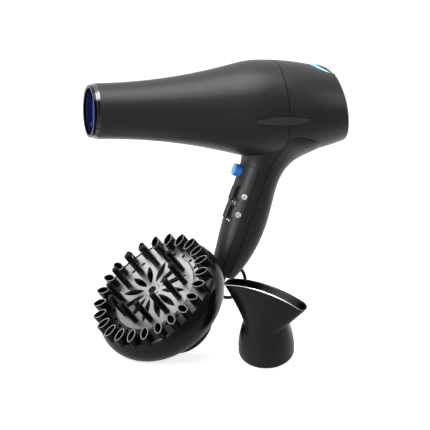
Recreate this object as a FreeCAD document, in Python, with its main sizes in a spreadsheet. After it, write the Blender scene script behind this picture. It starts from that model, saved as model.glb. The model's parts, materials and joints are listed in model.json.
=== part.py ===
"""Hair dryer with a diffuser and a concentrator, as separate parts. Millimetres.

Origin: middle of the hand grip, on the handle's own axis. +Z is up, the air leaves towards -X and the barrel
lies level above the origin. The handle leans, so that its lower end is nearer to the outlet.
Barrel pieces are drawn from the outlet end, x rearwards and y outwards from the barrel's axis.
Handle pieces are drawn in the handle's own frame: x rearwards across the grip, z up along it.
"""
import FreeCAD, Part
import math
import os
import re
import Sketcher

Vector = FreeCAD.Vector
Rotation = FreeCAD.Rotation
Placement = FreeCAD.Placement

os.makedirs("parts", exist_ok=True)
doc = FreeCAD.newDocument("hair_dryer")
sheet = doc.addObject("Spreadsheet::Sheet", "sizes")

SIZES = {
    # barrel
    "barrel_height": 84, "outlet_reach": 146, "barrel_mouth_radius": 25, "barrel_peak_at": 154,
    "barrel_peak_radius": 44.3, "shoulder_bend": 100, "tail_bend": 240, "barrel_length": 246,
    "wall": 2.2, "seam_gap": 0.6, "mating_gap": 0.35,
    # rear end
    "rear_inset": 16, "rear_drop": 2, "rear_slant": 8.3, "rear_dome_bend": 79, "rear_dome_rise": 5.2,
    "rear_edge_rounding": 2.5, "rear_opening_radius": 25.2, "rear_wall": 4.6,
    "cover_radius": 27.2, "cover_wall": 1.6, "cover_seat_depth": 2.4, "cover_skirt_depth": 6,
    "cover_slot_width": 2.1, "cover_slot_pitch": 4.2, "cover_slot_rings": 5, "cover_rib_width": 1.8,
    "filter_thickness": 0.6, "cover_travel": 30,
    # seam between the front and the rear housing
    "seam_top_x": 19.2, "seam_top_above": 56, "seam_knee_below": 24, "seam_knee_back": 5.4,
    "seam_knee_bend": 20, "seam_foot_below": 51, "seam_foot_back": 2.8, "seam_foot_bend": 60,
    # handle
    "handle_tilt": 19.5, "handle_end": 75, "handle_end_rounding": 1.2,
    "panel_top": 29, "panel_edge_back": 6, "panel_corner": 4,
    # outlet
    "spigot_radius": 23.75, "spigot_reach": 6, "spigot_flange": 1.6, "spigot_wall": 2.6, "spigot_chamfer": 0.6,
    "collar_depth": 20, "outlet_grille_at": 2, "outlet_grille_thickness": 2.2, "outlet_rings": 3,
    "outlet_ring_width": 1.1, "outlet_spokes": 6, "outlet_hub_radius": 3.2,
    # light on the shoulder
    "light_inset": 31.8, "light_rise": 32.6, "light_slope": 28.8, "light_radius": 14.2, "light_bore": 12.5,
    "light_height": 1.6, "light_cap_rise": 4.6, "led_board_radius": 8.4, "board_thickness": 1.6,
    # side trims
    "trim_x": 18, "trim_drop": 6.6, "trim_half_length": 25.2, "trim_half_height": 4.2, "trim_end_bend": 1.6,
    "trim_proud": 0.5, "trim_depth": 1.3,
    # heater
    "sleeve_radius": 21, "sleeve_wall": 0.6, "sleeve_start": 12, "sleeve_end": 116, "sleeve_rib": 2.4,
    "mica_radius": 18, "mica_thickness": 0.8, "mica_start": 24, "mica_end": 108,
    "coil_ribbon_width": 2.4, "coil_ribbon": 0.6, "coil_turns": 7, "coil_pitch": 10, "coil_start": 32,
    "thermostat_radius": 4, "thermostat_height": 3, "fuse_radius": 1.6, "fuse_length": 10,
    # fan and motor
    "duct_start": 156, "duct_end": 198, "duct_bore": 34.4, "duct_wall": 1.6, "duct_flange": 2,
    "damper_width": 4, "cup_bore": 17.2, "cup_wall": 1.4, "cup_start": 133, "cup_end": 179.5,
    "vane_count": 7, "vane_start": 160, "vane_end": 174, "vane_thickness": 1.4, "vane_slant": 18,
    "stator_start": 143, "stator_end": 170, "stator_bore": 10.3, "winding_depth": 4.6, "winding_bore": 11,
    "winding_radius": 15.6, "bracket_thickness": 3, "shaft_radius": 1.6, "shaft_play": 0.04,
    "armature_radius": 9.8, "commutator_radius": 6, "shaft_start": 131, "shaft_end": 194,
    "fan_start": 181, "fan_end": 193, "fan_hub_radius": 13, "fan_tip_gap": 0.9,
    "fan_blades": 9, "blade_thickness": 1.2, "blade_root_angle": 38, "blade_tip_angle": 62,
    "blade_root_chord": 9, "blade_tip_chord": 15,
    # buttons and switches in the handle
    "cool_button_radius": 5.75, "cool_button_up": 21.5, "cool_button_front": 25.2, "cool_button_back": 12.4,
    "cool_flange_radius": 7.2, "cool_flange_front": 14, "cool_travel": 3,
    "cool_button_dome": 1, "button_gap": 0.3,
    "rocker_half_width": 5.2, "rocker_half_length": 5.9, "rocker_axis_front": 15.8, "rocker_tip_front": 18.4,
    "rocker_groove_front": 17.2, "rocker_back": 14.2, "heat_rocker_up": 0.4, "speed_rocker_up": -17.2,
    "heat_rocker_inset": 0.1, "speed_rocker_inset": 0.9, "rocker_window_half_width": 6.1, "rocker_window_half_length": 6.2,
    "board_front": 3.4, "board_top": 27.5, "board_bottom": 34, "switch_half_width": 6.4,
    "switch_half_length": 7, "switch_front": 13.3, "cool_switch_front": 9.1, "cool_switch_half": 5,
    # lower end of the handle
    "screw_down": 52, "screw_radius": 1.5, "screw_head_radius": 2.8, "screw_head": 2, "screw_play": 0.2,
    "screw_grip": 5, "screw_overrun": 0.8, "screw_boss_wall": 1.8, "boss_radius": 3.4, "boss_front": 1.5,
    "clamp_down": 64, "clamp_length": 7, "clamp_half_width": 6, "clamp_half_depth": 5,
    "cord_radius": 3.1, "cord_axis_back": -1.7, "guard_length": 44, "guard_radius": 6.2, "guard_tip_radius": 4.1,
    "guard_flange_radius": 8, "guard_flange": 1.8, "guard_grooves": 5,
    "loop_radius": 1.6, "loop_root_back": 12.4, "loop_root_down": 63.1, "loop_reach": 23.4,
    "loop_reach_down": 82.3, "loop_foot_back": 1.9, "loop_foot_down": 92.2,
    # floor, attachments and cord
    "floor_drop": 136, "lean_turn": -150, "diffuser_lean": 46.2, "diffuser_x": -103.6, "diffuser_y": -39,
    "bowl_radius": 62.2, "bowl_bend": 28, "bowl_straight": 19, "bowl_rim_at": 9, "bowl_wall": 2,
    "neck_radius": 27, "neck_end": 68.5, "neck_rounding": 2.5, "neck_bore": 23.95, "neck_socket": 14,
    "neck_stop": 1.5, "plate_radius": 57.2, "plate_at": 10, "plate_wall": 2, "plate_gap": 0.2,
    "plate_step_radius": 40, "plate_step": 1.5, "plate_step_width": 1.2, "plate_dome": 3,
    "plate_hub_radius": 7.5, "plate_hub_rise": 1,
    "plate_hole": 4, "plate_ledge": 1.2,
    "petal_count": 12, "petal_inner": 9, "petal_outer": 34, "petal_half_width": 3,
    "vent_count": 24, "vent_circle": 43.2, "vent_radius": 1.8,
    "scoop_count": 24, "scoop_circle": 53, "scoop_half_length": 6.8, "scoop_half_width": 3.9, "scoop_end_bend": 2.4,
    "scoop_wall": 0.8,
    "finger_count": 12, "finger_circle": 32, "finger_radius": 2.9, "finger_length": 30,
    "finger_ring": 1.4, "finger_play": 0.1,
    "nozzle_turn": -110.8, "nozzle_lean": 30.1, "nozzle_yaw": -44.1, "nozzle_x": -4.8, "nozzle_y": -77.4,
    "nozzle_radius": 25, "nozzle_bore": 23.95, "nozzle_socket": 8, "nozzle_bend": 50, "waist_height": 26,
    "waist_radius": 20.8, "mouth_height": 74, "mouth_half_length": 44, "mouth_half_width": 5.4,
    "mouth_crown_bend": 98.5, "nozzle_skin": 1.4,
    "coil_x": -70, "coil_y": 78, "coil_middle_radius": 33.7, "coil_columns": 2, "coil_layers": 4,
    "tie_width": 9, "tie_thickness": 0.8, "plug_radius": 17.5, "plug_half_thickness": 11, "plug_length": 34,
    "pin_radius": 2.4, "pin_length": 19, "pin_spacing": 19, "plug_turn": -60, "plug_tail": 12, "plug_tail_at": 4.5,
    "plug_offset": 27,
}

# The grip, from its lower end up into the barrel: distance down from the origin or, for the sections that belong
# to the barrel, below the barrel's axis, then the reach of the front and of the rear surface from the handle's
# axis, and half the width.
GRIP = [
    ("end", 75, 13.8, 11, 11.6),
    ("heel", 58, 13.8, 17.8, 14.3),
    ("palm", 34, 16.5, 22.6, 16),
    ("middle", 8, 18.5, 22.6, 16.4),
    ("trigger", -20, 19.1, 19.9, 16.5),
    ("throat", 49, 20.8, 21.4, 18),
    ("neck", 38, 25.5, 26.2, 22.4),
    ("flare", 26, 32.5, 36.8, 31.5),
    ("root", 14, 38, 48, 37),
]
BELOW_AXIS = ["throat", "neck", "flare", "root"]
for section, down, front, rear, width in GRIP:
    if section != "end":
        SIZES["grip_" + section + ("_below" if section in BELOW_AXIS else "_down")] = down
    SIZES["grip_" + section + "_front"] = front
    SIZES["grip_" + section + "_rear"] = rear
    SIZES["grip_" + section + "_half_width"] = width

for row, (name, number) in enumerate(SIZES.items(), start=1):
    sheet.set("A" + str(row), name)
    sheet.set("B" + str(row), str(number))
    sheet.setAlias("B" + str(row), name)
doc.recompute()

probe = doc.addObject("App::FeaturePython", "probe")
probe.addProperty("App::PropertyFloat", "Number")


def cell(expression):
    """The expression with each size's name made a reference to its cell."""
    return re.sub(r"[a-z]\w*", lambda word: ("sizes." if word.group() in SIZES else "") + word.group(), expression)


def value(expression):
    """What an expression of sizes comes to now."""
    probe.setExpression("Number", cell(str(expression)))
    probe.recompute()
    return probe.Number


def bind(thing, **properties):
    for name, expression in properties.items():
        thing.setExpression(name.replace("__", "."), cell(str(expression)))
    return thing


def new(kind, label):
    thing = doc.addObject(kind, label)
    thing.Label = label
    return thing


# Frames -----------------------------------------------------------------------------------------------------

TILT = "handle_tilt * 1 deg"


def place(thing, x="0", y="0", z="0", axis=(0, 1, 0), turn="0"):
    """Puts a thing's own frame at a point, turned about an axis, all bound to sizes."""
    thing.Placement = Placement(Vector(0, 0, 0), Rotation(Vector(*axis), 1))
    bind(thing, Placement__Base__x=x, Placement__Base__y=y, Placement__Base__z=z)
    bind(thing, Placement__Rotation__Angle="(" + str(turn) + ") * 1 deg")
    return thing


def on_barrel(thing, along="0"):
    """The barrel's frame: x along its axis from the outlet end."""
    return place(thing, x="-outlet_reach + (" + along + ")", z="barrel_height")


def on_handle(thing, back="0", up="0"):
    """The handle's frame: x rearwards across the grip, z up along it."""
    x = "(" + back + ") * cos(" + TILT + ") + (" + up + ") * sin(" + TILT + ")"
    z = "(" + up + ") * cos(" + TILT + ") - (" + back + ") * sin(" + TILT + ")"
    return place(thing, x=x, z=z, turn="handle_tilt")


def leaning(thing, x, y, z, turn, lean, yaw="0"):
    """A frame that leans by an angle towards a direction, after a turn about its own z axis."""
    turns = []
    for axis, angle in (("0; 0; 1", turn), ("0; 1; 0", lean), ("0; 0; 1", yaw)):
        turns.append("rotation(vector(" + axis + "); (" + angle + ") * 1 deg)")
    at = "vector(" + x + "; " + y + "; " + z + ")"
    return bind(thing, Placement="placement(" + at + "; " + " * ".join(turns) + ")")


def on_rear(thing):
    """The rear opening's frame: x out of the opening, square to its slanted rim."""
    return place(thing, x="barrel_length - rear_inset - outlet_reach", z="barrel_height - rear_drop", turn="-rear_slant")


def on_light(thing):
    """The light's frame: z out of its flat seat on the shoulder."""
    return place(thing, x="barrel_length - light_inset - outlet_reach", z="barrel_height + light_rise", turn="light_slope")


# Building blocks --------------------------------------------------------------------------------------------

def sketch_on(body, plane, corners):
    """A closed outline through corners (x, y) or, where an arc leads to the next corner, (x, y, radius, side).

    side is 1 where the arc bulges to the left of the way round, and -1 where it bulges to the right."""
    sketch = body.newObject("Sketcher::SketchObject", body.Name + "_outline")
    origin = [feature for feature in body.Origin.OriginFeatures if feature.Role == plane][0]
    sketch.AttachmentSupport = [(origin, "")]
    sketch.MapMode = "FlatFace"
    points = [Vector(value(corner[0]), value(corner[1]), 0) for corner in corners]
    ends = []
    for index, corner in enumerate(corners):
        start, finish = points[index], points[(index + 1) % len(points)]
        if len(corner) == 2:
            edge = sketch.addGeometry(Part.LineSegment(start, finish))
            ends.append((edge, 1, 2))
            continue
        radius = value(corner[2])
        chord = finish - start
        sagitta = radius - math.sqrt(max(radius ** 2 - chord.Length ** 2 / 4, 0))
        left = Vector(-chord.y, chord.x, 0).normalize()
        middle = (start + finish) / 2 + left * sagitta * corner[3]
        anticlockwise = corner[3] < 0
        arc = Part.Arc(start, middle, finish) if anticlockwise else Part.Arc(finish, middle, start)
        edge = sketch.addGeometry(arc)
        ends.append((edge, 1, 2) if anticlockwise else (edge, 2, 1))
    for index, corner in enumerate(corners):
        edge, first, last = ends[index]
        following = ends[(index + 1) % len(ends)]
        sketch.addConstraint(Sketcher.Constraint("Coincident", edge, last, following[0], following[1]))
        for direction, axis in (("DistanceX", 0), ("DistanceY", 1)):
            rule = Sketcher.Constraint(direction, -1, 1, edge, first, points[index][axis])
            number = sketch.addConstraint(rule)
            sketch.setExpression("Constraints[" + str(number) + "]", cell(str(corner[axis])))
        if len(corner) > 2:
            number = sketch.addConstraint(Sketcher.Constraint("Radius", edge, value(corner[2])))
            sketch.setExpression("Constraints[" + str(number) + "]", cell(str(corner[2])))
    return sketch


def turned(label, corners, about="H_Axis"):
    """A body made by turning an outline, drawn in the XZ plane, about the x axis or the z axis."""
    body = new("PartDesign::Body", label)
    sketch = sketch_on(body, "XZ_Plane", corners)
    turn = body.newObject("PartDesign::Revolution", label + "_turn")
    turn.Profile = (sketch, [""])
    turn.ReferenceAxis = (sketch, [about])
    turn.Angle = 360
    return body


def padded(label, corners, length, plane="XZ_Plane"):
    """A body made by padding an outline evenly to both sides of an origin plane."""
    body = new("PartDesign::Body", label)
    sketch = sketch_on(body, plane, corners)
    pad = body.newObject("PartDesign::Pad", label + "_pad")
    pad.Profile = (sketch, [""])
    pad.Midplane = True
    bind(pad, Length=length)
    return body


def cylinder(label, radius, length):
    return bind(new("Part::Cylinder", label), Radius=radius, Height=length)


def block(label, x, y, z):
    return bind(new("Part::Box", label), Length=x, Width=y, Height=z)


def joined(label, pieces):
    fuse = new("Part::MultiFuse", label)
    fuse.Shapes = pieces
    return fuse


def cut(label, base, tools):
    result = new("Part::Cut", label)
    result.Base = base
    result.Tool = tools[0] if len(tools) == 1 else joined(label + "_tools", tools)
    return result


def overlap(label, first, second):
    result = new("Part::Common", label)
    result.Base = first
    result.Tool = second
    return result


def solid(label, shape, placement=None):
    """A sub-part whose shape is worked out in code from the sizes."""
    part = new("Part::Feature", label)
    part.Shape = shape
    if placement:
        part.Placement = placement
    return part


def ring(label, start, end, inner, outer):
    """A turned ring in the barrel's frame."""
    corners = [(start, inner), (start, outer), (end, outer), (end, inner)]
    return on_barrel(turned(label, corners))


nodes = []


def node(part, label):
    """Marks a finished sub-part: its label names its file."""
    part.Label = label
    nodes.append(part)
    return part


# Barrel -----------------------------------------------------------------------------------------------------

def barrel(label, offset):
    """The barrel's round form, moved outwards by offset: a hollow curve, the shoulder and the tail, all tangent."""
    rise = "(barrel_peak_radius - barrel_mouth_radius)"
    sum_of_bends = "((barrel_peak_at ^ 2 + " + rise + " ^ 2) / (2 * " + rise + "))"
    share = "((shoulder_bend + (" + offset + ")) / " + sum_of_bends + ")"
    meeting_x = "barrel_peak_at * (1 - " + share + ")"
    meeting_y = "barrel_peak_radius - shoulder_bend + " + share + " * (" + sum_of_bends + " - " + rise + ")"
    tail = "barrel_peak_radius - tail_bend + sqrt((tail_bend + (" + offset + ")) ^ 2"
    tail += " - (barrel_length - barrel_peak_at) ^ 2)"
    corners = [
        ("0", "0"),
        ("0", "barrel_mouth_radius + (" + offset + ")", sum_of_bends + " - shoulder_bend - (" + offset + ")", -1),
        (meeting_x, meeting_y, "shoulder_bend + (" + offset + ")", 1),
        ("barrel_peak_at", "barrel_peak_radius + (" + offset + ")", "tail_bend + (" + offset + ")", 1),
        ("barrel_length", tail),
        ("barrel_length", "0"),
    ]
    return on_barrel(turned(label, corners))


def rear_trim(label, offset):
    """Everything in front of the domed rear end, moved forwards by offset."""
    apex = "rear_dome_rise - (" + offset + ")"
    bend = "rear_dome_bend"
    corners = [
        ("-barrel_length - 60", "0"),
        ("-barrel_length - 60", bend),
        (apex + " - " + bend, bend, bend, 1),
        (apex, "0"),
    ]
    return on_rear(turned(label, corners))


def grip(label, inset):
    """The handle's form as a loft of ovals, moved inwards by inset."""
    sections = []
    for name, *_ in GRIP:
        key = "grip_" + name
        down = key + "_below - barrel_height" if name in BELOW_AXIS else key + "_down"
        if name == "end":
            down = "handle_end - (" + inset + ")"
        oval = new("Part::Ellipse", label + "_" + name)
        bind(oval, MajorRadius="(" + key + "_rear + " + key + "_front) / 2 - (" + inset + ")")
        bind(oval, MinorRadius=key + "_half_width - (" + inset + ")")
        on_handle(oval, back="(" + key + "_rear - " + key + "_front) / 2", up="-(" + down + ")")
        sections.append(oval)
    loft = new("Part::Loft", label)
    loft.Sections = sections
    loft.Solid = True
    loft.Ruled = False
    return loft


def rounded_edge(label, base, radius, chosen):
    """Rounds the edges for which chosen(edge) is true."""
    doc.recompute()
    amount = value(radius)
    fillet = new("Part::Fillet", label)
    fillet.Base = base
    picked = [i for i, edge in enumerate(base.Shape.Edges, start=1) if chosen(edge)]
    fillet.Edges = [(i, amount, amount) for i in picked]
    return fillet


def at_rear_rim(edge):
    return edge.BoundBox.XMin > value("barrel_length - rear_inset - outlet_reach") - 12 and edge.BoundBox.YLength > 20


def at_handle_end(edge):
    return edge.BoundBox.ZMax < -value("handle_end") * 0.8 and edge.BoundBox.YLength > 10


barrel_outside = overlap("barrel_outside", barrel("barrel_form", "0"), rear_trim("rear_form", "0"))
barrel_rounded = rounded_edge("barrel_rounded", barrel_outside, "rear_edge_rounding", at_rear_rim)
grip_outside = rounded_edge("grip_outside", grip("grip_form", "0"), "handle_end_rounding", at_handle_end)
whole_outside = joined("whole_outside", [barrel_rounded, grip_outside])

# Housings ---------------------------------------------------------------------------------------------------

def lens(label, margin):
    """The outline of a side trim, two long arcs and two round ends, moved outwards by margin."""
    height = "(trim_half_height + " + margin + ")"
    end = "(trim_end_bend + " + margin + ")"
    run = "(trim_half_length - trim_end_bend)"
    bend = "((" + run + " ^ 2 + " + height + " ^ 2 - " + end + " ^ 2) / (2 * (" + height + " - " + end + ")))"
    across = run + " * " + bend + " / (" + bend + " - " + end + ")"
    rise = end + " * (" + bend + " - " + height + ") / (" + bend + " - " + end + ")"
    middle = "barrel_height - trim_drop"
    corners = [
        ("trim_x - " + across, middle + " - " + rise, end, 1),
        ("trim_x - " + across, middle + " + " + rise, bend, 1),
        ("trim_x + " + across, middle + " + " + rise, end, 1),
        ("trim_x + " + across, middle + " - " + rise, bend, 1),
    ]
    return padded(label, corners, "3 * barrel_peak_radius")


def panel_zone(label, margin):
    """The front of the grip that the switch panel takes up, moved outwards by margin."""
    edge = "-panel_edge_back + " + margin
    top = "panel_top + " + margin
    corner = "(panel_corner + " + margin + ")"
    corners = [
        ("-60", "-handle_end - 20"),
        (edge, "-handle_end - 20"),
        (edge, top + " - " + corner, corner, -1),
        (edge + " - " + corner, top),
        ("-60", top),
    ]
    return on_handle(padded(label, corners, "80"))


def path_with_bends(points, radii):
    """Straight runs through points, joined by tangent arcs of the radii at the inner points."""
    edges = []
    start = points[0]
    for index, radius in enumerate(radii, start=1):
        before = (points[index - 1] - points[index]).normalize()
        after = (points[index + 1] - points[index]).normalize()
        half_turn = (math.pi - before.getAngle(after)) / 2
        reach = radius * math.tan(half_turn)
        towards = (before + after).normalize()
        first = points[index] + before * reach
        last = points[index] + after * reach
        middle = points[index] + towards * (radius / math.cos(half_turn) - radius)
        edges.append(Part.LineSegment(start, first).toShape())
        edges.append(Part.Arc(first, middle, last).toShape())
        start = last
    edges.append(Part.LineSegment(start, points[-1]).toShape())
    return edges


def handle_point(back, down, side=0):
    """A point of the handle's frame, in the row's frame."""
    turn = math.radians(value("handle_tilt"))
    x = back * math.cos(turn) - down * math.sin(turn)
    z = -back * math.sin(turn) - down * math.cos(turn)
    return Vector(x, side, z)


def front_zone(label, shift):
    """Everything in front of the seam: it drops through the barrel, then follows the handle down."""
    top = Vector(value("seam_top_x"), 0, value("barrel_height + seam_top_above"))
    knee = handle_point(value("seam_knee_back"), value("seam_knee_below - barrel_height"))
    foot = handle_point(value("seam_foot_back"), value("seam_foot_below - barrel_height"))
    end = handle_point(value("seam_foot_back"), value("handle_end") + 20)
    edges = path_with_bends([top, knee, foot, end], [value("seam_knee_bend"), value("seam_foot_bend")])
    far = -value("outlet_reach") - 60
    edges.append(Part.makeLine(end, Vector(far, 0, end.z)))
    edges.append(Part.makeLine(Vector(far, 0, end.z), Vector(far, 0, top.z)))
    edges.append(Part.makeLine(Vector(far, 0, top.z), top))
    face = Part.Face(Part.Wire(edges))
    depth = 3 * value("barrel_peak_radius")
    prism = face.extrude(Vector(0, depth, 0))
    return solid(label, prism, Placement(Vector(shift, -depth / 2, 0), Rotation()))


light_backing = on_light(cylinder("light_backing", "light_radius + wall", "3 * light_radius"))
light_x = "barrel_length - light_inset - outlet_reach"
bind(light_backing, Placement__Base__x=light_x + " - wall * sin(light_slope * 1 deg)")
bind(light_backing, Placement__Base__z="barrel_height + light_rise - wall * cos(light_slope * 1 deg)")
barrel_bore = overlap("barrel_bore", barrel("barrel_bore_form", "-wall"), rear_trim("rear_bore_form", "rear_wall"))
barrel_bore_clear = cut("barrel_bore_clear", barrel_bore, [light_backing])

sleeve_rib = ring("sleeve_rib", "sleeve_end - sleeve_rib", "sleeve_end", "sleeve_radius + 0.1", "barrel_peak_radius")
screw_rib = on_handle(padded("screw_rib", [
    ("-panel_edge_back - 1", "-screw_down - boss_radius"),
    ("boss_front", "-screw_down - boss_radius"),
    ("boss_front", "-screw_down + boss_radius"),
    ("-panel_edge_back - 1", "-screw_down + boss_radius")], "60"))


def along_screw(label, radius, start, end):
    """A cylinder along the handle screw, between two distances back from the handle's axis."""
    corners = [(start, "0"), (start, radius), (end, radius), (end, "0")]
    return on_handle(turned(label, corners), up="-screw_down")


screw_boss = along_screw("screw_boss", "screw_head_radius + screw_play + screw_boss_wall",
                         "seam_foot_back + seam_gap", "grip_heel_rear + screw_overrun")
thread_hole = along_screw("thread_hole", "screw_radius", "-panel_edge_back", "boss_front + 1")
screw_seat = "(boss_front + mating_gap + screw_grip)"
screw_way = leaning(turned("screw_way", [
    ("0", "boss_front"), ("screw_radius + screw_play", "boss_front"), ("screw_radius + screw_play", screw_seat),
    ("screw_head_radius + screw_play", screw_seat),
    ("screw_head_radius + screw_play", "grip_heel_rear + screw_overrun"),
    ("0", "grip_heel_rear + screw_overrun")], "V_Axis"),
    "-screw_down * sin(" + TILT + ")", "0", "-screw_down * cos(" + TILT + ")", "0", "handle_tilt + 90", "90")
cavity = cut("cavity", joined("cavity_form", [barrel_bore_clear, grip("grip_bore", "wall")]),
             [sleeve_rib, screw_rib, screw_boss])

rear_opening = on_rear(turned("rear_opening_cut", [
    ("-3 * rear_wall", "0"), ("-3 * rear_wall", "rear_opening_radius"),
    ("-cover_seat_depth", "rear_opening_radius"), ("-cover_seat_depth", "cover_radius + mating_gap"),
    ("3 * rear_wall", "cover_radius + mating_gap"), ("3 * rear_wall", "0")]))
light_seat = on_light(cylinder("light_seat", "light_radius + mating_gap / 2", "3 * light_radius"))
trim_pockets = cut("trim_pockets", lens("trim_pocket_form", "mating_gap"), [barrel("trim_floor", "-trim_depth")])
guard_hole = on_handle(cylinder("guard_hole", "guard_radius + 0.1", "4 * wall"), back="cord_axis_back",
                       up="-handle_end - 2 * wall")
shell = cut("shell", whole_outside, [cavity, rear_opening, light_seat, trim_pockets, guard_hole])

front_part = overlap("front_part", shell, front_zone("front_zone", -value("seam_gap") / 2))
front_housing = cut("front_housing", front_part, [panel_zone("panel_gap_zone", "mating_gap"), thread_hole])
node(front_housing, "front_housing")

rear_part = cut("rear_part", shell, [front_zone("rear_zone", value("seam_gap") / 2)])
rear_housing = cut("rear_housing", rear_part, [screw_way])
node(rear_housing, "rear_housing")

node(joined("handle_screw", [
    along_screw("screw_shank", "screw_radius", "-panel_edge_back + 1", screw_seat),
    along_screw("screw_head_form", "screw_head_radius", screw_seat, screw_seat + " + screw_head")]), "handle_screw")

button_hole = on_handle(turned("button_hole", [
    ("-60", "0"), ("-60", "cool_button_radius + button_gap"), ("0", "cool_button_radius + button_gap"), ("0", "0")]),
    up="cool_button_up")


def window(label, up):
    """The opening in the switch panel round a rocker."""
    corners = [
        ("-60", up + " - rocker_window_half_length"), ("0", up + " - rocker_window_half_length"),
        ("0", up + " + rocker_window_half_length"), ("-60", up + " + rocker_window_half_length")]
    return on_handle(padded(label, corners, "2 * rocker_window_half_width"))


panel_part = overlap("panel_part", shell, panel_zone("panel_zone", "0"))
switch_panel = cut("switch_panel", panel_part, [
    button_hole, window("heat_window", "heat_rocker_up"), window("speed_window", "speed_rocker_up")])
node(switch_panel, "switch_panel")

trim_strip = overlap("trim_strip", cut("trim_strip_form", lens("trim_form", "0"), [
    barrel("trim_floor_form", "-trim_depth")]), barrel("trim_top", "trim_proud"))
side_box = block("left_side", "3 * outlet_reach", "2 * barrel_peak_radius", "3 * outlet_reach")
place(side_box, x="-outlet_reach", y="-2 * barrel_peak_radius", z="-outlet_reach")
node(overlap("left_side_trim", trim_strip, side_box), "left_side_trim")
node(cut("right_side_trim", trim_strip, [side_box]), "right_side_trim")

# Outlet -----------------------------------------------------------------------------------------------------

spigot_bore = "(spigot_radius - spigot_wall)"
collar_sleeve = "(barrel_mouth_radius - wall - 0.1)"
outlet_collar = on_barrel(turned("outlet_collar", [
    ("-spigot_reach", spigot_bore + " + spigot_chamfer"),
    ("-spigot_reach", "spigot_radius - spigot_chamfer"),
    ("-spigot_reach + spigot_chamfer", "spigot_radius"),
    ("-spigot_flange", "spigot_radius"),
    ("-spigot_flange", "barrel_mouth_radius - 0.1"),
    ("0", "barrel_mouth_radius - 0.1"),
    ("0", collar_sleeve),
    ("collar_depth", collar_sleeve),
    ("collar_depth", spigot_bore),
    ("-spigot_reach + spigot_chamfer", spigot_bore)]))
node(outlet_collar, "outlet_collar")


def spoked_grille(label, start, thickness, radius, rings, ring_width, spokes, hub_radius):
    """A flat round grille: a hub, spaced rings and straight spokes, square to the x axis."""
    pieces = []
    gap = (radius - hub_radius - rings * ring_width) / rings
    edges = [(0, hub_radius)]
    for index in range(int(rings)):
        outer = hub_radius + (index + 1) * (gap + ring_width)
        edges.append((outer - ring_width, outer))
    for inner, outer in edges:
        disc = Part.makeCylinder(outer, thickness, Vector(start, 0, 0), Vector(1, 0, 0))
        if inner:
            disc = disc.cut(Part.makeCylinder(inner, thickness, Vector(start, 0, 0), Vector(1, 0, 0)))
        pieces.append(disc)
    for index in range(int(spokes)):
        spoke = Part.makeBox(thickness, ring_width, radius - ring_width / 2, Vector(start, -ring_width / 2, 0))
        spoke.rotate(Vector(), Vector(1, 0, 0), 360.0 * index / spokes)
        pieces.append(spoke)
    return pieces[0].fuse(pieces[1:]).removeSplitter()


outlet_grille = solid("outlet_grille", spoked_grille(
    "outlet_grille", value("outlet_grille_at"), value("outlet_grille_thickness"),
    value(spigot_bore + " - 0.1"), value("outlet_rings"), value("outlet_ring_width"), value("outlet_spokes"),
    value("outlet_hub_radius")))
node(on_barrel(outlet_grille), "outlet_grille")

# Light on the shoulder --------------------------------------------------------------------------------------

node(on_light(turned("light_ring", [
    ("light_bore", "0"), ("light_radius", "0"), ("light_radius", "light_height - 0.6"),
    ("light_radius - 0.6", "light_height"), ("light_bore", "light_height")], "V_Axis")), "light_ring")
cap_radius = "(light_bore - 0.1)"
cap_rise = "(light_cap_rise - light_height + 0.6)"
cap_bend = "(" + cap_radius + " ^ 2 + " + cap_rise + " ^ 2) / (2 * " + cap_rise + ")"
node(on_light(turned("light_ring_cap", [
    ("0", "0"), (cap_radius, "0"), (cap_radius, "light_height - 0.6", cap_bend, -1), ("0", "light_cap_rise")],
    "V_Axis")), "light_ring_cap")
led_board = on_light(cylinder("led_board", "led_board_radius", "board_thickness"))
led_depth = "(wall + board_thickness)"
bind(led_board, Placement__Base__x=light_x + " - " + led_depth + " * sin(light_slope * 1 deg)")
bind(led_board, Placement__Base__z="barrel_height + light_rise - " + led_depth + " * cos(light_slope * 1 deg)")
node(led_board, "led_board")

# Heater -----------------------------------------------------------------------------------------------------

node(ring("heater_sleeve", "sleeve_start", "sleeve_end", "sleeve_radius - sleeve_wall", "sleeve_radius"),
     "heater_sleeve")
mica_length = value("mica_end - mica_start")
board = Part.makeBox(mica_length, value("mica_thickness"), value("2 * mica_radius"),
                     Vector(value("mica_start"), -value("mica_thickness") / 2, -value("mica_radius")))
crossing = board.copy()
crossing.rotate(Vector(), Vector(1, 0, 0), 90)
foot = Part.makeBox(4, value("mica_thickness"), value("2 * (sleeve_radius - sleeve_wall - 0.1)"),
                    Vector(value("mica_start"), -value("mica_thickness") / 2,
                           -value("sleeve_radius - sleeve_wall - 0.1")))
feet = [foot, foot.copy()]
feet[1].translate(Vector(mica_length - 4, 0, 0))
feet += [part.copy() for part in feet]
feet[2].rotate(Vector(), Vector(1, 0, 0), 90)
feet[3].rotate(Vector(), Vector(1, 0, 0), 90)
node(on_barrel(solid("mica_frame", board.fuse([crossing] + feet).removeSplitter())), "mica_frame")
windings = []
for index in range(int(value("coil_turns"))):
    start = Vector(value("coil_start + " + str(index) + " * coil_pitch"), 0, 0)
    width = value("coil_ribbon_width")
    inner = value("mica_radius + 0.1")
    outer = Part.makeCylinder(inner + value("coil_ribbon"), width, start, Vector(1, 0, 0))
    windings.append(outer.cut(Part.makeCylinder(inner, width, start, Vector(1, 0, 0))))
node(on_barrel(solid("heating_coil", Part.makeCompound(windings))), "heating_coil")
side_of_mica = "mica_thickness / 2"
node(place(cylinder("thermostat", "thermostat_radius", "thermostat_height"),
           x="mica_end - outlet_reach - 9", y=side_of_mica, z="barrel_height + mica_radius / 2",
           axis=(1, 0, 0), turn="-90"), "thermostat")
node(place(cylinder("thermal_fuse", "fuse_radius", "fuse_length"),
           x="mica_end - outlet_reach - 14", y="-fuse_radius - " + side_of_mica, z="barrel_height + mica_radius / 2",
           turn="90"), "thermal_fuse")

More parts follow.
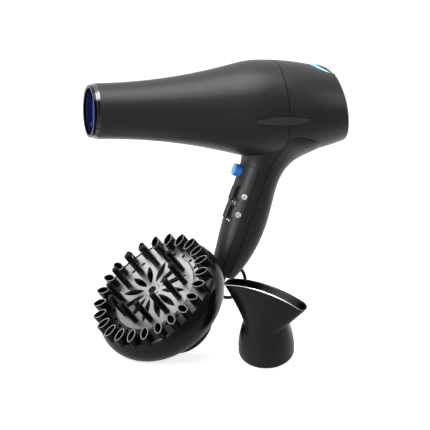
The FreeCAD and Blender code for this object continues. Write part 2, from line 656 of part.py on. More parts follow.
# Fan and motor ----------------------------------------------------------------------------------------------

duct_radius = "(duct_bore + duct_wall)"
cup_radius = "(cup_bore + cup_wall)"


def blade(root_radius, root_chord, root_angle, tip_radius, tip_chord, tip_angle, thickness, middle):
    """A twisted blade along z: its angles are measured from the x axis."""
    sections = []
    for radius, chord, angle in ((root_radius, root_chord, root_angle), (tip_radius, tip_chord, tip_angle)):
        corners = [Vector(x, y, 0) for x, y in (
            (-chord / 2, -thickness / 2), (chord / 2, -thickness / 2), (chord / 2, thickness / 2),
            (-chord / 2, thickness / 2), (-chord / 2, -thickness / 2))]
        section = Part.makePolygon(corners)
        section.rotate(Vector(), Vector(0, 0, 1), angle)
        section.translate(Vector(middle, 0, radius))
        sections.append(section)
    return Part.makeLoft(sections, True, True)


def turned_copies(shape, count):
    """A shape and its copies, spread evenly about the x axis."""
    copies = []
    for index in range(int(round(count))):
        copy = shape.copy()
        copy.rotate(Vector(), Vector(1, 0, 0), 360.0 * index / count)
        copies.append(copy)
    return copies


duct_profile = [
    ("duct_start", "duct_bore"), ("duct_start", duct_radius + " + duct_flange"),
    ("duct_start + duct_flange", duct_radius + " + duct_flange"), ("duct_start + duct_flange", duct_radius),
    ("duct_end", duct_radius), ("duct_end", "duct_bore")]
duct_wall = on_barrel(turned("duct_wall_ring", duct_profile))
motor_cup = ring("motor_cup", "cup_start", "cup_end", "cup_bore", cup_radius)
vane_length = value("(vane_end - vane_start) / cos(vane_slant * 1 deg)")
vane = blade(value(cup_radius) - value("cup_wall") / 2, vane_length, value("vane_slant"),
             value("duct_bore + duct_wall / 2"), vane_length, value("vane_slant"), value("vane_thickness"),
             value("(vane_start + vane_end) / 2"))
vanes = on_barrel(solid("vanes", Part.makeCompound(turned_copies(vane, value("vane_count")))))
node(joined("fan_duct", [duct_wall, motor_cup, vanes]), "fan_duct")
damper_form = ring("damper_form", "duct_start + duct_flange", "duct_start + duct_flange + damper_width",
                   duct_radius, "barrel_peak_radius")
node(overlap("damper_ring", damper_form, barrel("damper_limit", "-wall - 0.1")), "damper_ring")
node(ring("motor_stator", "stator_start", "stator_end", "stator_bore", "cup_bore - 0.1"), "motor_stator")
node(joined("stator_windings", [
    ring("front_winding", "stator_start - winding_depth", "stator_start", "winding_bore", "winding_radius"),
    ring("rear_winding", "stator_end", "stator_end + winding_depth", "winding_bore", "winding_radius")]),
    "stator_windings")
for side, start in (("front", "cup_start + 0.5"), ("rear", "cup_end - bracket_thickness - 0.5")):
    bracket = ring(side + "_bearing_bracket", start, start + " + bracket_thickness", "shaft_radius + shaft_play",
                   "cup_bore - 0.1")
    node(bracket, side + "_bearing_bracket")
node(on_barrel(turned("motor_rotor", [
    ("shaft_start", "0"), ("shaft_start", "shaft_radius"), ("stator_start + 1", "shaft_radius"),
    ("stator_start + 1", "armature_radius"), ("stator_end - 1", "armature_radius"),
    ("stator_end - 1", "commutator_radius"), ("stator_end + winding_depth", "commutator_radius"),
    ("stator_end + winding_depth", "shaft_radius"), ("shaft_end", "shaft_radius"), ("shaft_end", "0")])),
    "motor_rotor")
fan_hub = on_barrel(turned("fan_hub", [
    ("fan_start", "shaft_radius"), ("fan_start", "fan_hub_radius"), ("fan_end - 3", "fan_hub_radius"),
    ("fan_end", "fan_hub_radius - 4"), ("fan_end", "shaft_radius")]))
fan_blade = blade(value("fan_hub_radius - 2.5"), value("blade_root_chord"), value("blade_root_angle"),
                  value("duct_bore"), value("blade_tip_chord"), value("blade_tip_angle"), value("blade_thickness"),
                  value("(fan_start + fan_end) / 2 - 1"))
tip_circle = Part.makeCylinder(value("duct_bore - fan_tip_gap"), value("duct_end"), Vector(), Vector(1, 0, 0))
blades = Part.makeCompound(turned_copies(fan_blade, value("fan_blades"))).common(tip_circle)
blades = on_barrel(solid("blades", blades))
node(joined("fan_impeller", [fan_hub, blades]), "fan_impeller")

# Rear filter ------------------------------------------------------------------------------------------------

skirt_radius = "(rear_opening_radius - mating_gap)"
skirt_bore = "(" + skirt_radius + " - cover_wall)"
dome_middle = "(rear_dome_rise - rear_dome_bend)"
cover_form = on_rear(turned("cover_form", [
    ("-cover_skirt_depth", skirt_bore), ("-cover_skirt_depth", skirt_radius),
    ("-cover_seat_depth + 0.05", skirt_radius), ("-cover_seat_depth + 0.05", "cover_radius"),
    (dome_middle + " + sqrt(rear_dome_bend ^ 2 - cover_radius ^ 2)", "cover_radius", "rear_dome_bend", 1),
    ("rear_dome_rise", "0"),
    ("rear_dome_rise - cover_wall", "0", "rear_dome_bend - cover_wall", -1),
    (dome_middle + " + sqrt((rear_dome_bend - cover_wall) ^ 2 - " + skirt_bore + " ^ 2)", skirt_bore)]))
slots = []
for index in range(int(value("cover_slot_rings"))):
    inner = value("cover_slot_pitch") * (index + 1) - 1
    slot = Part.makeCylinder(inner + value("cover_slot_width"), 12, Vector(-2, 0, 0), Vector(1, 0, 0))
    slots.append(slot.cut(Part.makeCylinder(inner, 12, Vector(-2, 0, 0), Vector(1, 0, 0))))
rib = Part.makeBox(14, value("cover_rib_width"), 40, Vector(-3, -value("cover_rib_width") / 2, 0))
slot_cutter = Part.makeCompound(slots).cut(turned_copies(rib, 6))
node(cut("filter_cover", cover_form, [on_rear(solid("slot_cutter", slot_cutter))]), "filter_cover")
filter_mesh = turned("filter_mesh", [
    ("-cover_seat_depth - filter_thickness", "0"), ("-cover_seat_depth - filter_thickness", skirt_bore + " - 0.1"),
    ("-cover_seat_depth", skirt_bore + " - 0.1"), ("-cover_seat_depth", "0")])
node(on_rear(filter_mesh), "filter_mesh")

# Buttons, rockers and switches ------------------------------------------------------------------------------

dome_bend = "(cool_button_radius ^ 2 + cool_button_dome ^ 2) / (2 * cool_button_dome)"
node(on_handle(turned("cool_shot_button", [
    ("-cool_button_front", "0", dome_bend, 1), ("-cool_button_front + cool_button_dome", "cool_button_radius"),
    ("-cool_flange_front", "cool_button_radius"), ("-cool_flange_front", "cool_flange_radius"),
    ("-cool_button_back", "cool_flange_radius"), ("-cool_button_back", "0")]), up="cool_button_up"),
    "cool_shot_button")


def rocker(label, up, inset):
    """A rocker with a groove along its middle, set back by inset; it rocks about a line along the handle."""
    shoulder = "rocker_axis_front + 1.2"
    corners = [
        ("-rocker_tip_front", "-rocker_half_width"), ("-rocker_back", "-rocker_half_width / 2"),
        ("-rocker_back", "rocker_half_width / 2"), ("-(" + shoulder + ")", "rocker_half_width"),
        ("-rocker_tip_front", "rocker_half_width"), ("-rocker_groove_front", "0")]
    corners.insert(1, ("-(" + shoulder + ")", "-rocker_half_width"))
    return on_handle(padded(label, corners, "2 * rocker_half_length", "XY_Plane"), back=inset, up=up)


def handle_block(label, front, back, half_width, low, high):
    """A box in the handle's frame, from front to back across the grip and from low to high along it."""
    box = block(label, back + " - (" + front + ")", "2 * (" + half_width + ")", high + " - (" + low + ")")
    on_handle(box, back=front, up=low)
    return bind(box, Placement__Base__y="-(" + half_width + ")")


for side in ("heat", "speed"):
    up = side + "_rocker_up"
    inset = side + "_rocker_inset"
    node(rocker(side + "_rocker", up, inset), side + "_rocker")
    body = handle_block(side + "_switch_body", "(" + inset + " - switch_front)", "-board_front", "switch_half_width",
                        up + " - switch_half_length", up + " + switch_half_length")
    node(body, side + "_switch_body")
cool_switch = handle_block("cool_shot_switch", "-cool_switch_front", "-board_front", "cool_switch_half + 1",
                           "cool_button_up - cool_switch_half", "cool_button_up + cool_switch_half")
node(cool_switch, "cool_shot_switch")
board_form = handle_block("board_form", "-board_front", "-board_front + board_thickness", "2 * switch_half_width",
                          "-board_bottom", "board_top")
bind(board_form, Width="80", Placement__Base__y="-40")
node(overlap("control_board", board_form, grip("board_limit", "wall + button_gap")), "control_board")

# Cord guard, hanging loop and the cord inside the handle ------------------------------------------------------

guard_outline = [("0", "-guard_length"), ("guard_tip_radius", "-guard_length")]
cone = "(guard_radius - guard_tip_radius) / guard_length"
for index in range(int(value("guard_grooves"))):
    low = "(-guard_length + 8 + " + str(index) + " * 4.4)"
    high = "(" + low + " + 1.6)"
    for height, depth in ((low, "0"), (low, "0.8"), (high, "0.8"), (high, "0")):
        guard_outline.append(("guard_radius + " + cone + " * " + height + " - " + depth, height))
guard_outline += [
    ("guard_radius", "0"), ("guard_radius", "wall + 0.1"), ("guard_flange_radius", "wall + 0.1"),
    ("guard_flange_radius", "wall + 0.1 + guard_flange"), ("0", "wall + 0.1 + guard_flange")]
cord_guard = on_handle(turned("cord_guard", guard_outline, "V_Axis"), back="cord_axis_back", up="-handle_end")
node(cord_guard, "cord_guard")


def tube(edges, radius):
    """A round tube of a radius along joined edges."""
    path = Part.Wire(edges)
    start = path.Edges[0].Vertexes[0].Point
    away = path.Edges[0].tangentAt(path.Edges[0].FirstParameter)
    section = Part.Wire(Part.makeCircle(radius, start, away))
    return path.makePipeShell([section], True, False)


doc.recompute()
loop_start = handle_point(value("loop_root_back"), value("loop_root_down"))
loop_middle = handle_point(value("loop_reach"), value("loop_reach_down"))
loop_end = handle_point(value("loop_foot_back"), value("loop_foot_down"))
loop_tube = tube([Part.Arc(loop_start, loop_middle, loop_end).toShape()], value("loop_radius"))
loop_shape = loop_tube.cut(grip_outside.Shape).cut(cord_guard.Shape)
loop_shape = max(loop_shape.Solids, key=lambda piece: piece.Volume)
node(solid("hanging_loop", loop_shape), "hanging_loop")

cord_top_down = "(clamp_down - clamp_length / 2 - 0.5)"
inner_cord = on_handle(cylinder("inner_cord", "cord_radius", "handle_end - wall - 0.1 - guard_flange - " + cord_top_down),
                       back="cord_axis_back", up="-handle_end + wall + 0.1 + guard_flange")
node(inner_cord, "inner_cord")
clamp_form = handle_block("clamp_form", "cord_axis_back - clamp_half_depth", "cord_axis_back + clamp_half_depth",
                          "clamp_half_width", "-clamp_down - clamp_length / 2", "-clamp_down + clamp_length / 2")
clamp_hole = on_handle(cylinder("clamp_hole", "cord_radius", "3 * clamp_length"), back="cord_axis_back",
                       up="-clamp_down - 1.5 * clamp_length")
node(cut("cord_clamp", clamp_form, [clamp_hole]), "cord_clamp")
leads = []
lead_top = value("board_bottom") - 6
for side in (-1, 1):
    route = [handle_point(back, down, side * across) for back, down, across in (
        (value("cord_axis_back"), value(cord_top_down), 1.6), (value("cord_axis_back"), 57.6, 1.6), (3.8, 56, 7),
        (5, 46, 7.6), (1, 36, 6), (value("0.9 + board_thickness - board_front"), lead_top, 4))]
    leads.append(tube(path_with_bends(route, [1.2, 2.5, 4, 4]), 0.8))
node(solid("supply_leads", Part.makeCompound(leads)), "supply_leads")

# Diffuser ---------------------------------------------------------------------------------------------------

def on_bowl(thing):
    """The diffuser's frame: z out of its mouth, from the middle of the mouth. The bowl's side lies on the floor."""
    height = "bowl_straight * cos(diffuser_lean * 1 deg) + (bowl_radius - bowl_bend) * sin(diffuser_lean * 1 deg)"
    return leaning(thing, "diffuser_x", "diffuser_y", "-floor_drop + bowl_bend + " + height,
                   "lean_turn", "diffuser_lean")


def z_copies(shape, count, first=0):
    """A shape and its copies, spread evenly about the z axis; first is the share of a step to start at."""
    copies = []
    for index in range(int(round(count))):
        copy = shape.copy()
        copy.rotate(Vector(), Vector(0, 0, 1), 360.0 * (index + first) / count)
        copies.append(copy)
    return copies


def oval(half_length, half_width, end_bend, middle, height):
    """A face with the outline of four tangent arcs, long in x, at a place on the x axis."""
    side_bend = ((half_length - end_bend) ** 2 + half_width ** 2 - end_bend ** 2) / (2 * (half_width - end_bend))
    angle = math.atan2(side_bend - half_width, half_length - end_bend)
    meeting = Vector(half_length - end_bend + end_bend * math.cos(angle), end_bend * math.sin(angle), 0)
    corners = [Vector(meeting.x, -meeting.y, 0), meeting, Vector(-meeting.x, meeting.y, 0),
               Vector(-meeting.x, -meeting.y, 0)]
    tops = [Vector(half_length, 0, 0), Vector(0, half_width, 0), Vector(-half_length, 0, 0),
            Vector(0, -half_width, 0)]
    edges = [Part.Arc(corners[i], tops[i], corners[(i + 1) % 4]).toShape() for i in range(4)]
    face = Part.Face(Part.Wire(edges))
    face.translate(Vector(middle, 0, height))
    return face


bowl_inside = "(bowl_radius - bowl_wall)"
opening = "(plate_radius + plate_gap)"
shoulder_in = "(bowl_radius - " + opening + ")"
shoulder_down = "(bowl_straight - bowl_rim_at)"
shoulder = "(" + shoulder_down + " ^ 2 + " + shoulder_in + " ^ 2) / (2 * " + shoulder_in + ")"
plate_under = "(plate_at + plate_wall)"
neck_top = "(bowl_straight + bowl_bend)"
diffuser_bowl = on_bowl(turned("diffuser_bowl", [
    (opening, "-bowl_rim_at"), (opening, "-" + plate_under), (opening + " - plate_ledge", "-" + plate_under),
    (opening + " - plate_ledge", "-" + plate_under + " - plate_ledge"),
    (bowl_inside, "-bowl_straight", "bowl_bend - bowl_wall", -1),
    ("bowl_radius - bowl_bend", "-" + neck_top + " + bowl_wall"),
    ("neck_bore - neck_stop", "-" + neck_top + " + bowl_wall"),
    ("neck_bore - neck_stop", "-neck_end + neck_socket"), ("neck_bore", "-neck_end + neck_socket"),
    ("neck_bore", "-neck_end"), ("neck_radius - neck_rounding", "-neck_end", "neck_rounding", -1),
    ("neck_radius", "-neck_end + neck_rounding"), ("neck_radius", "-" + neck_top),
    ("bowl_radius - bowl_bend", "-" + neck_top, "bowl_bend", -1),
    ("bowl_radius", "-bowl_straight", shoulder, -1)], "V_Axis"))
node(diffuser_bowl, "diffuser_bowl")

plateau = "(-plate_at + plate_step)"
plate_form = turned("plate_form", [
    ("plate_hole", plateau + " - plate_wall"), ("plate_step_radius - plate_step_width", plateau + " - plate_wall"),
    ("plate_step_radius", "-" + plate_under), ("plate_radius", "-" + plate_under),
    ("plate_radius", "-plate_at"), ("plate_step_radius + plate_step_width", "-plate_at"),
    ("plate_step_radius", plateau), ("plate_hub_radius", plateau + " + plate_dome"),
    ("plate_hub_radius - plate_hub_rise", plateau + " + plate_dome + plate_hub_rise"),
    ("plate_hole", plateau + " + plate_dome + plate_hub_rise")], "V_Axis")
low = -value(plate_under) - 1
depth = -low
petal_half = value("(petal_outer - petal_inner) / 2")
petal_bend = (petal_half ** 2 + value("petal_half_width") ** 2) / (2 * value("petal_half_width"))
petal = Part.makeCylinder(petal_bend, depth, Vector(value("(petal_outer + petal_inner) / 2"),
                                                     petal_bend - value("petal_half_width"), low))
petal = petal.common(petal.mirror(Vector(), Vector(0, 1, 0)))
vent = Part.makeCylinder(value("vent_radius"), depth, Vector(value("vent_circle"), 0, low))
scoop_sizes = [value("scoop_half_length"), value("scoop_half_width"), value("scoop_end_bend")]
scoop_inner = [size - value("scoop_wall") for size in scoop_sizes]
scoop_hole = oval(*scoop_inner, value("scoop_circle"), low).extrude(Vector(0, 0, depth + 1))
finger_hole = Part.makeCylinder(value("finger_radius + finger_play"), depth, Vector(value("finger_circle"), 0, low))
plate_holes = z_copies(petal, value("petal_count"), 0.5) + z_copies(vent, value("vent_count"), 0.5)
plate_holes += z_copies(scoop_hole, value("scoop_count")) + z_copies(finger_hole, value("finger_count"))
plate_cutter = solid("plate_cutter", Part.makeCompound(plate_holes))
diffuser_face = new("Part::Cut", "diffuser_face")
diffuser_face.Base = plate_form
diffuser_face.Tool = plate_cutter
node(on_bowl(diffuser_face), "diffuser_face")

plate_top = -value("plate_at")
scoop_tube = oval(*scoop_sizes, value("scoop_circle"), low).extrude(Vector(0, 0, depth))
plate_space = Part.makeCylinder(value(opening), depth + plate_top, Vector(0, 0, low))
scoop_tube = scoop_tube.cut(scoop_hole).cut(plate_space)
scoop_ring = on_bowl(solid("scoop_ring", Part.makeCompound(z_copies(scoop_tube, value("scoop_count")))))
node(cut("diffuser_scoops", scoop_ring, [diffuser_bowl]), "diffuser_scoops")

finger_radius = value("finger_radius")
finger_foot = value(plateau + " - plate_wall")
finger_shaft = value("finger_length - plate_at") - finger_foot - finger_radius
finger = Part.makeCylinder(finger_radius, finger_shaft, Vector(value("finger_circle"), 0, finger_foot))
tip = Part.makeSphere(finger_radius, Vector(value("finger_circle"), 0, finger_foot + finger_shaft),
                      Vector(0, 0, 1), 0, 90, 360)
finger = finger.fuse(tip).removeSplitter()
ring_foot = Vector(0, 0, finger_foot - value("finger_ring"))
finger_ring = Part.makeCylinder(value("finger_circle + finger_radius"), value("finger_ring"), ring_foot)
finger_ring = finger_ring.cut(Part.makeCylinder(value("finger_circle - finger_radius"), value("finger_ring"),
                                                ring_foot))
fingers = Part.makeCompound([finger_ring] + z_copies(finger, value("finger_count")))
node(on_bowl(solid("diffuser_fingers", fingers)), "diffuser_fingers")

# Concentrator -----------------------------------------------------------------------------------------------

def on_nozzle(thing):
    """The concentrator's frame: z from its collar to its mouth, x along the mouth. The collar stands on its edge."""
    return leaning(thing, "nozzle_x", "nozzle_y", "-floor_drop + nozzle_radius * sin(nozzle_lean * 1 deg)",
                   "nozzle_turn", "nozzle_lean", "nozzle_yaw - nozzle_turn")


def stadium_loft(radius, height, half_length, half_width, top):
    """A ruled solid from a circle, at a height, to a long round-ended slot at the top."""
    split = math.radians(40)
    sections = []
    for across, along, reach, level in (
            (radius * math.sin(split), radius * math.cos(split), radius, height),
            (half_width, half_length - half_width, half_length, top)):
        corners = [Vector(along, -across, level), Vector(along, across, level),
                   Vector(-along, across, level), Vector(-along, -across, level)]
        side = radius if level == height else half_width
        edges = [Part.Arc(corners[0], Vector(reach, 0, level), corners[1]).toShape(), None,
                 Part.Arc(corners[2], Vector(-reach, 0, level), corners[3]).toShape(), None]
        for index, sign in ((1, 1), (3, -1)):
            start, finish = corners[index], corners[(index + 1) % 4]
            if level == height:
                edges[index] = Part.Arc(start, Vector(0, sign * side, level), finish).toShape()
            else:
                edges[index] = Part.LineSegment(start, finish).toShape()
        sections.append(Part.Wire(edges))
    return Part.makeLoft(sections, True, True)


waist = value("waist_height")
crown = value("mouth_height - mouth_crown_bend")
nozzle_collar = turned("nozzle_collar", [
    ("nozzle_bore", "0"), ("nozzle_radius", "0"), ("nozzle_radius", "nozzle_socket", "nozzle_bend", -1),
    ("waist_radius", "waist_height"), ("waist_radius - nozzle_skin", "waist_height"),
    ("nozzle_bore - nozzle_skin", "nozzle_socket"), ("nozzle_bore", "nozzle_socket")], "V_Axis")
skin = value("nozzle_skin")
nozzle_outer = stadium_loft(value("waist_radius"), waist, value("mouth_half_length"), value("mouth_half_width"),
                            value("mouth_height"))
nozzle_inner = stadium_loft(value("waist_radius") - skin, waist, value("mouth_half_length") - skin,
                            value("mouth_half_width") - skin, value("mouth_height"))
crown_round = Part.makeCylinder(value("mouth_crown_bend"), 80, Vector(0, -40, crown), Vector(0, 1, 0))
nozzle_blade = solid("nozzle_blade", nozzle_outer.cut(nozzle_inner).common(crown_round))
node(on_nozzle(joined("concentrator_nozzle", [nozzle_collar, nozzle_blade])), "concentrator_nozzle")

# Cord and plug ----------------------------------------------------------------------------------------------

# The lead's route along the floor to the coil. It first leaves the guard straight.
LEAD = [(-46.8, 1.4, -126.3), (-49.5, 6.5, -131.7), (-50.8, 15, -132.9), (-51.6, 27, -132.9),
        (-49.6, 39, -132.6), (-45, 50.5, -132.1)]
# The last stretch, from the top of the coil into the plug's tail, from the middle of the coil and the floor:
# x along the plug, towards its tail.
LAST = [(36.8, -8, 22.4), (36.8, 5.4, 24.3), (32.7, 15.3, 28), (25.1, 22.9, 32.2), (15.2, 27, 35.6), (4.5, 27, 36.6)]


def route_tube(label, points):
    """A tube of the cord along a route, with an arc at each inner point as large as its two runs allow."""
    radii = []
    for before, here, after in zip(points, points[1:], points[2:]):
        first, second = here - before, after - here
        half_turn = first.getAngle(second) / 2
        radii.append(0.45 * min(first.Length, second.Length) / math.tan(half_turn))
    edges = path_with_bends(points, radii)
    shape = tube(edges, value("cord_radius"))
    length = sum(edge.Length for edge in edges)
    share = shape.Volume / (math.pi * value("cord_radius") ** 2 * length)
    print(label, "radii", [round(radius, 1) for radius in radii], "length", round(length, 1),
          "volume over section times length", round(share, 4))
    return solid(label + "_tube", shape)


doc.recompute()
coil_outer = "(coil_middle_radius + coil_columns * cord_radius)"
coil_inner = "(coil_middle_radius - coil_columns * cord_radius)"
coil_height = "(2 * coil_layers * cord_radius)"
bend = "cord_radius"
cord_coil = place(turned("cord_coil", [
    (coil_inner, bend), (coil_inner + " + " + bend, "0", ), (coil_outer + " - " + bend, "0", bend, -1),
    (coil_outer, bend), (coil_outer, coil_height + " - " + bend, bend, -1),
    (coil_outer + " - " + bend, coil_height), (coil_inner + " + " + bend, coil_height, bend, -1),
    (coil_inner, coil_height + " - " + bend)], "V_Axis"), x="coil_x", y="coil_y", z="-floor_drop + tie_thickness")
node(cord_coil, "cord_coil")

guard_tip = handle_point(value("cord_axis_back"), value("handle_end + guard_length"))
below_tip = handle_point(value("cord_axis_back"), value("handle_end + guard_length") + 8)
lead_tube = route_tube("cord_lead", [guard_tip, below_tip] + [Vector(*point) for point in LEAD])
node(cut("cord_lead", lead_tube, [cord_coil]), "cord_lead")
tie_form = block("tie_form", "coil_columns * 2 * cord_radius + 2 * tie_thickness", "tie_width",
                 coil_height + " + 2 * tie_thickness")
tie_turn = "((plug_turn - 90) * 1 deg)"
tie_reach = "(" + coil_inner + " - tie_thickness)"
place(tie_form, x="coil_x + " + tie_reach + " * cos" + tie_turn + " + tie_width / 2 * sin" + tie_turn,
      y="coil_y + " + tie_reach + " * sin" + tie_turn + " - tie_width / 2 * cos" + tie_turn,
      z="-floor_drop", axis=(0, 0, 1), turn="plug_turn - 90")
node(cut("cord_tie", tie_form, [cord_coil]), "cord_tie")

plug_long = "(plug_tail_at - plug_tail - plug_length)"
plug_angle = "(plug_turn * 1 deg)"


def on_plug(thing, along="0", aside="0"):
    """The plug's frame: x from its pins' face to its tail. The plug lies on the coil."""
    x = "(" + plug_long + " + " + along + ")"
    y = "(plug_offset + " + aside + ")"
    return place(thing, x="coil_x + " + x + " * cos" + plug_angle + " - " + y + " * sin" + plug_angle,
                 y="coil_y + " + x + " * sin" + plug_angle + " + " + y + " * cos" + plug_angle,
                 z="-floor_drop + tie_thickness + " + coil_height + " + plug_half_thickness",
                 axis=(0, 0, 1), turn="plug_turn")


plug_round = on_plug(turned("plug_round", [
    ("0", "0"), ("0", "plug_radius"), ("plug_length / 3", "plug_radius"),
    ("plug_length", "cord_radius + 3"), ("plug_length + plug_tail", "cord_radius + 1"),
    ("plug_length + plug_tail", "0")]))
plug_slab = on_plug(padded("plug_slab", [
    ("0", "-plug_half_thickness"), ("plug_length + plug_tail", "-plug_half_thickness"),
    ("plug_length + plug_tail", "plug_half_thickness"), ("0", "plug_half_thickness")], "3 * plug_radius"))
plug_body = overlap("plug_body", plug_round, plug_slab)
node(plug_body, "plug_body")
pins = []
for side in (-1, 1):
    pin = cylinder("plug_pin", "pin_radius", "pin_length")
    leaning(pin, "0", str(side) + " * pin_spacing / 2", "0", "0", "-90")
    pins.append(pin)
pin_pair = new("Part::Compound", "plug_pins")
pin_pair.Links = pins
node(on_plug(pin_pair), "plug_pins")

turn = math.radians(value("plug_turn"))
coil_middle = Vector(value("coil_x"), value("coil_y"), -value("floor_drop"))
last_points = []
for along, across, up in LAST:
    offset = Vector(along * math.cos(turn) - across * math.sin(turn), along * math.sin(turn) + across * math.cos(turn),
                    up)
    last_points.append(coil_middle + offset)
last_tube = route_tube("cord_tail", last_points)
node(cut("cord_tail", last_tube, [cord_coil, plug_body]), "cord_tail")

# Checks and files -------------------------------------------------------------------------------------------

doc.recompute()
faults = [thing.Label for thing in doc.Objects if "Invalid" in thing.State or "Error" in thing.State]
for part in nodes:
    if part.Shape.isNull() or not part.Shape.isValid() or not part.Shape.Solids:
        faults.append(part.Label)
if faults:
    raise RuntimeError("these are not whole: " + ", ".join(faults))
for part in nodes:
    part.Shape.exportStep("parts/" + part.Label + ".step")
print(len(nodes), "sub-parts written")
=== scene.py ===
"""Looks of a hair dryer with its diffuser and concentrator. Metres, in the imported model's frame."""

import json
from math import acos, atan2, cos, pi, radians, sin, sqrt

import bpy
from mathutils import Matrix, Vector
from mathutils.bvhtree import BVHTree

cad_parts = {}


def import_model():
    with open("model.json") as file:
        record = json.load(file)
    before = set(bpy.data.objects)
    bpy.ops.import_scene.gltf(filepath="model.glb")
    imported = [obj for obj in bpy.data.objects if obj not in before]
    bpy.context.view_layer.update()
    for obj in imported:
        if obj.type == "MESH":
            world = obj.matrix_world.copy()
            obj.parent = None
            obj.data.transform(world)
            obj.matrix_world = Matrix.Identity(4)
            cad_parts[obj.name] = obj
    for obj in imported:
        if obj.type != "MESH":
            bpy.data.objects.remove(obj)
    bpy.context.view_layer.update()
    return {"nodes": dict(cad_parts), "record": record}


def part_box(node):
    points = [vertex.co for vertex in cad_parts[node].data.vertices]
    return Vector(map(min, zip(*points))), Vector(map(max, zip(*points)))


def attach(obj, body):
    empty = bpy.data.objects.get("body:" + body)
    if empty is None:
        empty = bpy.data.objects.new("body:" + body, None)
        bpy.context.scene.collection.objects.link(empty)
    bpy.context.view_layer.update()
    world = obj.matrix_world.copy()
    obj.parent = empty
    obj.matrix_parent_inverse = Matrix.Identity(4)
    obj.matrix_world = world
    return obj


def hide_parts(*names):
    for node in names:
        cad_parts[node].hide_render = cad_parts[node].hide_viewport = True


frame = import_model()
nodes = frame["nodes"]
scene = bpy.context.scene
scene.view_settings.view_transform = "Standard"

MM = 0.001
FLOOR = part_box("cord_lead")[0].z
HANDLE_TILT = radians(19.5)
HANDLE_BACK = Vector((cos(HANDLE_TILT), 0, -sin(HANDLE_TILT)))
HANDLE_DOWN = Vector((-sin(HANDLE_TILT), 0, -cos(HANDLE_TILT)))
mounts = {mount["name"]: mount for mount in frame["record"]["mounts"]}
BOWL_NORMAL = -Vector(mounts["diffuser_socket"]["axis"])


# Materials --------------------------------------------------------------------------------------------------

def new_material(name):
    """A material with its Principled shader, and a helper that adds nodes to it."""
    material = bpy.data.materials.new(name)
    material.use_nodes = True
    tree = material.node_tree
    principled = tree.nodes["Principled BSDF"]

    def add(kind, inputs=(), **settings):
        node = tree.nodes.new(kind)
        for key, setting in settings.items():
            setattr(node, key, setting)
        for key, source in dict(inputs).items():
            if isinstance(source, bpy.types.NodeSocket):
                tree.links.new(source, node.inputs[key])
            else:
                node.inputs[key].default_value = source
        return node

    return material, principled, tree, add


RELIEF_DEPTH = 0.04 * MM


def grained(name, colour, roughness, grain=900.0, relief=0.12, mottle=0.12, metallic=0.0, specular=0.5):
    """A moulded or metal surface: a fine grain in relief, slight changes of tone and of roughness."""
    material, principled, tree, add = new_material(name)
    principled.inputs["Metallic"].default_value = metallic
    principled.inputs["Specular IOR Level"].default_value = specular
    place = add("ShaderNodeTexCoord").outputs["Object"]
    cloud = add("ShaderNodeTexNoise", {"Vector": place, "Scale": 28.0, "Detail": 3.0})
    fine = add("ShaderNodeTexNoise", {"Vector": place, "Scale": grain, "Detail": 2.0})
    tone = add("ShaderNodeMapRange", {"Value": cloud.outputs["Fac"], "To Min": 1 - mottle,
                                      "To Max": 1 + mottle})
    tint = add("ShaderNodeVectorMath", {0: tuple(colour), "Scale": tone.outputs["Result"]}, operation="SCALE")
    tree.links.new(tint.outputs["Vector"], principled.inputs["Base Color"])
    rough = add("ShaderNodeMapRange", {"Value": cloud.outputs["Fac"], "To Min": roughness * 0.92,
                                       "To Max": roughness * 1.08})
    tree.links.new(rough.outputs["Result"], principled.inputs["Roughness"])
    bump = add("ShaderNodeBump", {"Height": fine.outputs["Fac"], "Strength": relief,
                                   "Distance": RELIEF_DEPTH})
    tree.links.new(bump.outputs["Normal"], principled.inputs["Normal"])
    return material


def edged(name, colour, roughness, direction, edge_colour, edge_roughness, specular=0.35, metal=True):
    """A plastic whose faces square to a direction have another colour, and may be metal there."""
    material, principled, tree, add = new_material(name)
    principled.inputs["Specular IOR Level"].default_value = specular
    coordinates = add("ShaderNodeTexCoord")
    cloud = add("ShaderNodeTexNoise", {"Vector": coordinates.outputs["Object"], "Scale": 35.0, "Detail": 3.0})
    facing = add("ShaderNodeVectorMath", {0: coordinates.outputs["Normal"], 1: tuple(direction)},
                 operation="DOT_PRODUCT")
    bright = add("ShaderNodeMapRange", {"Value": facing.outputs["Value"], "From Min": 0.9, "From Max": 0.95})
    tone = add("ShaderNodeMapRange", {"Value": cloud.outputs["Fac"], "To Min": 0.85, "To Max": 1.15})
    tint = add("ShaderNodeVectorMath", {0: tuple(colour), "Scale": tone.outputs["Result"]}, operation="SCALE")
    mixed = add("ShaderNodeMix", {"Factor": bright.outputs["Result"], "B": (*edge_colour, 1)},
                data_type="RGBA")
    tree.links.new(tint.outputs["Vector"], mixed.inputs["A"])
    tree.links.new(mixed.outputs["Result"], principled.inputs["Base Color"])
    rough = add("ShaderNodeMapRange", {"Value": bright.outputs["Result"], "To Min": roughness,
                                       "To Max": edge_roughness})
    tree.links.new(rough.outputs["Result"], principled.inputs["Roughness"])
    if metal:
        tree.links.new(bright.outputs["Result"], principled.inputs["Metallic"])
    return material


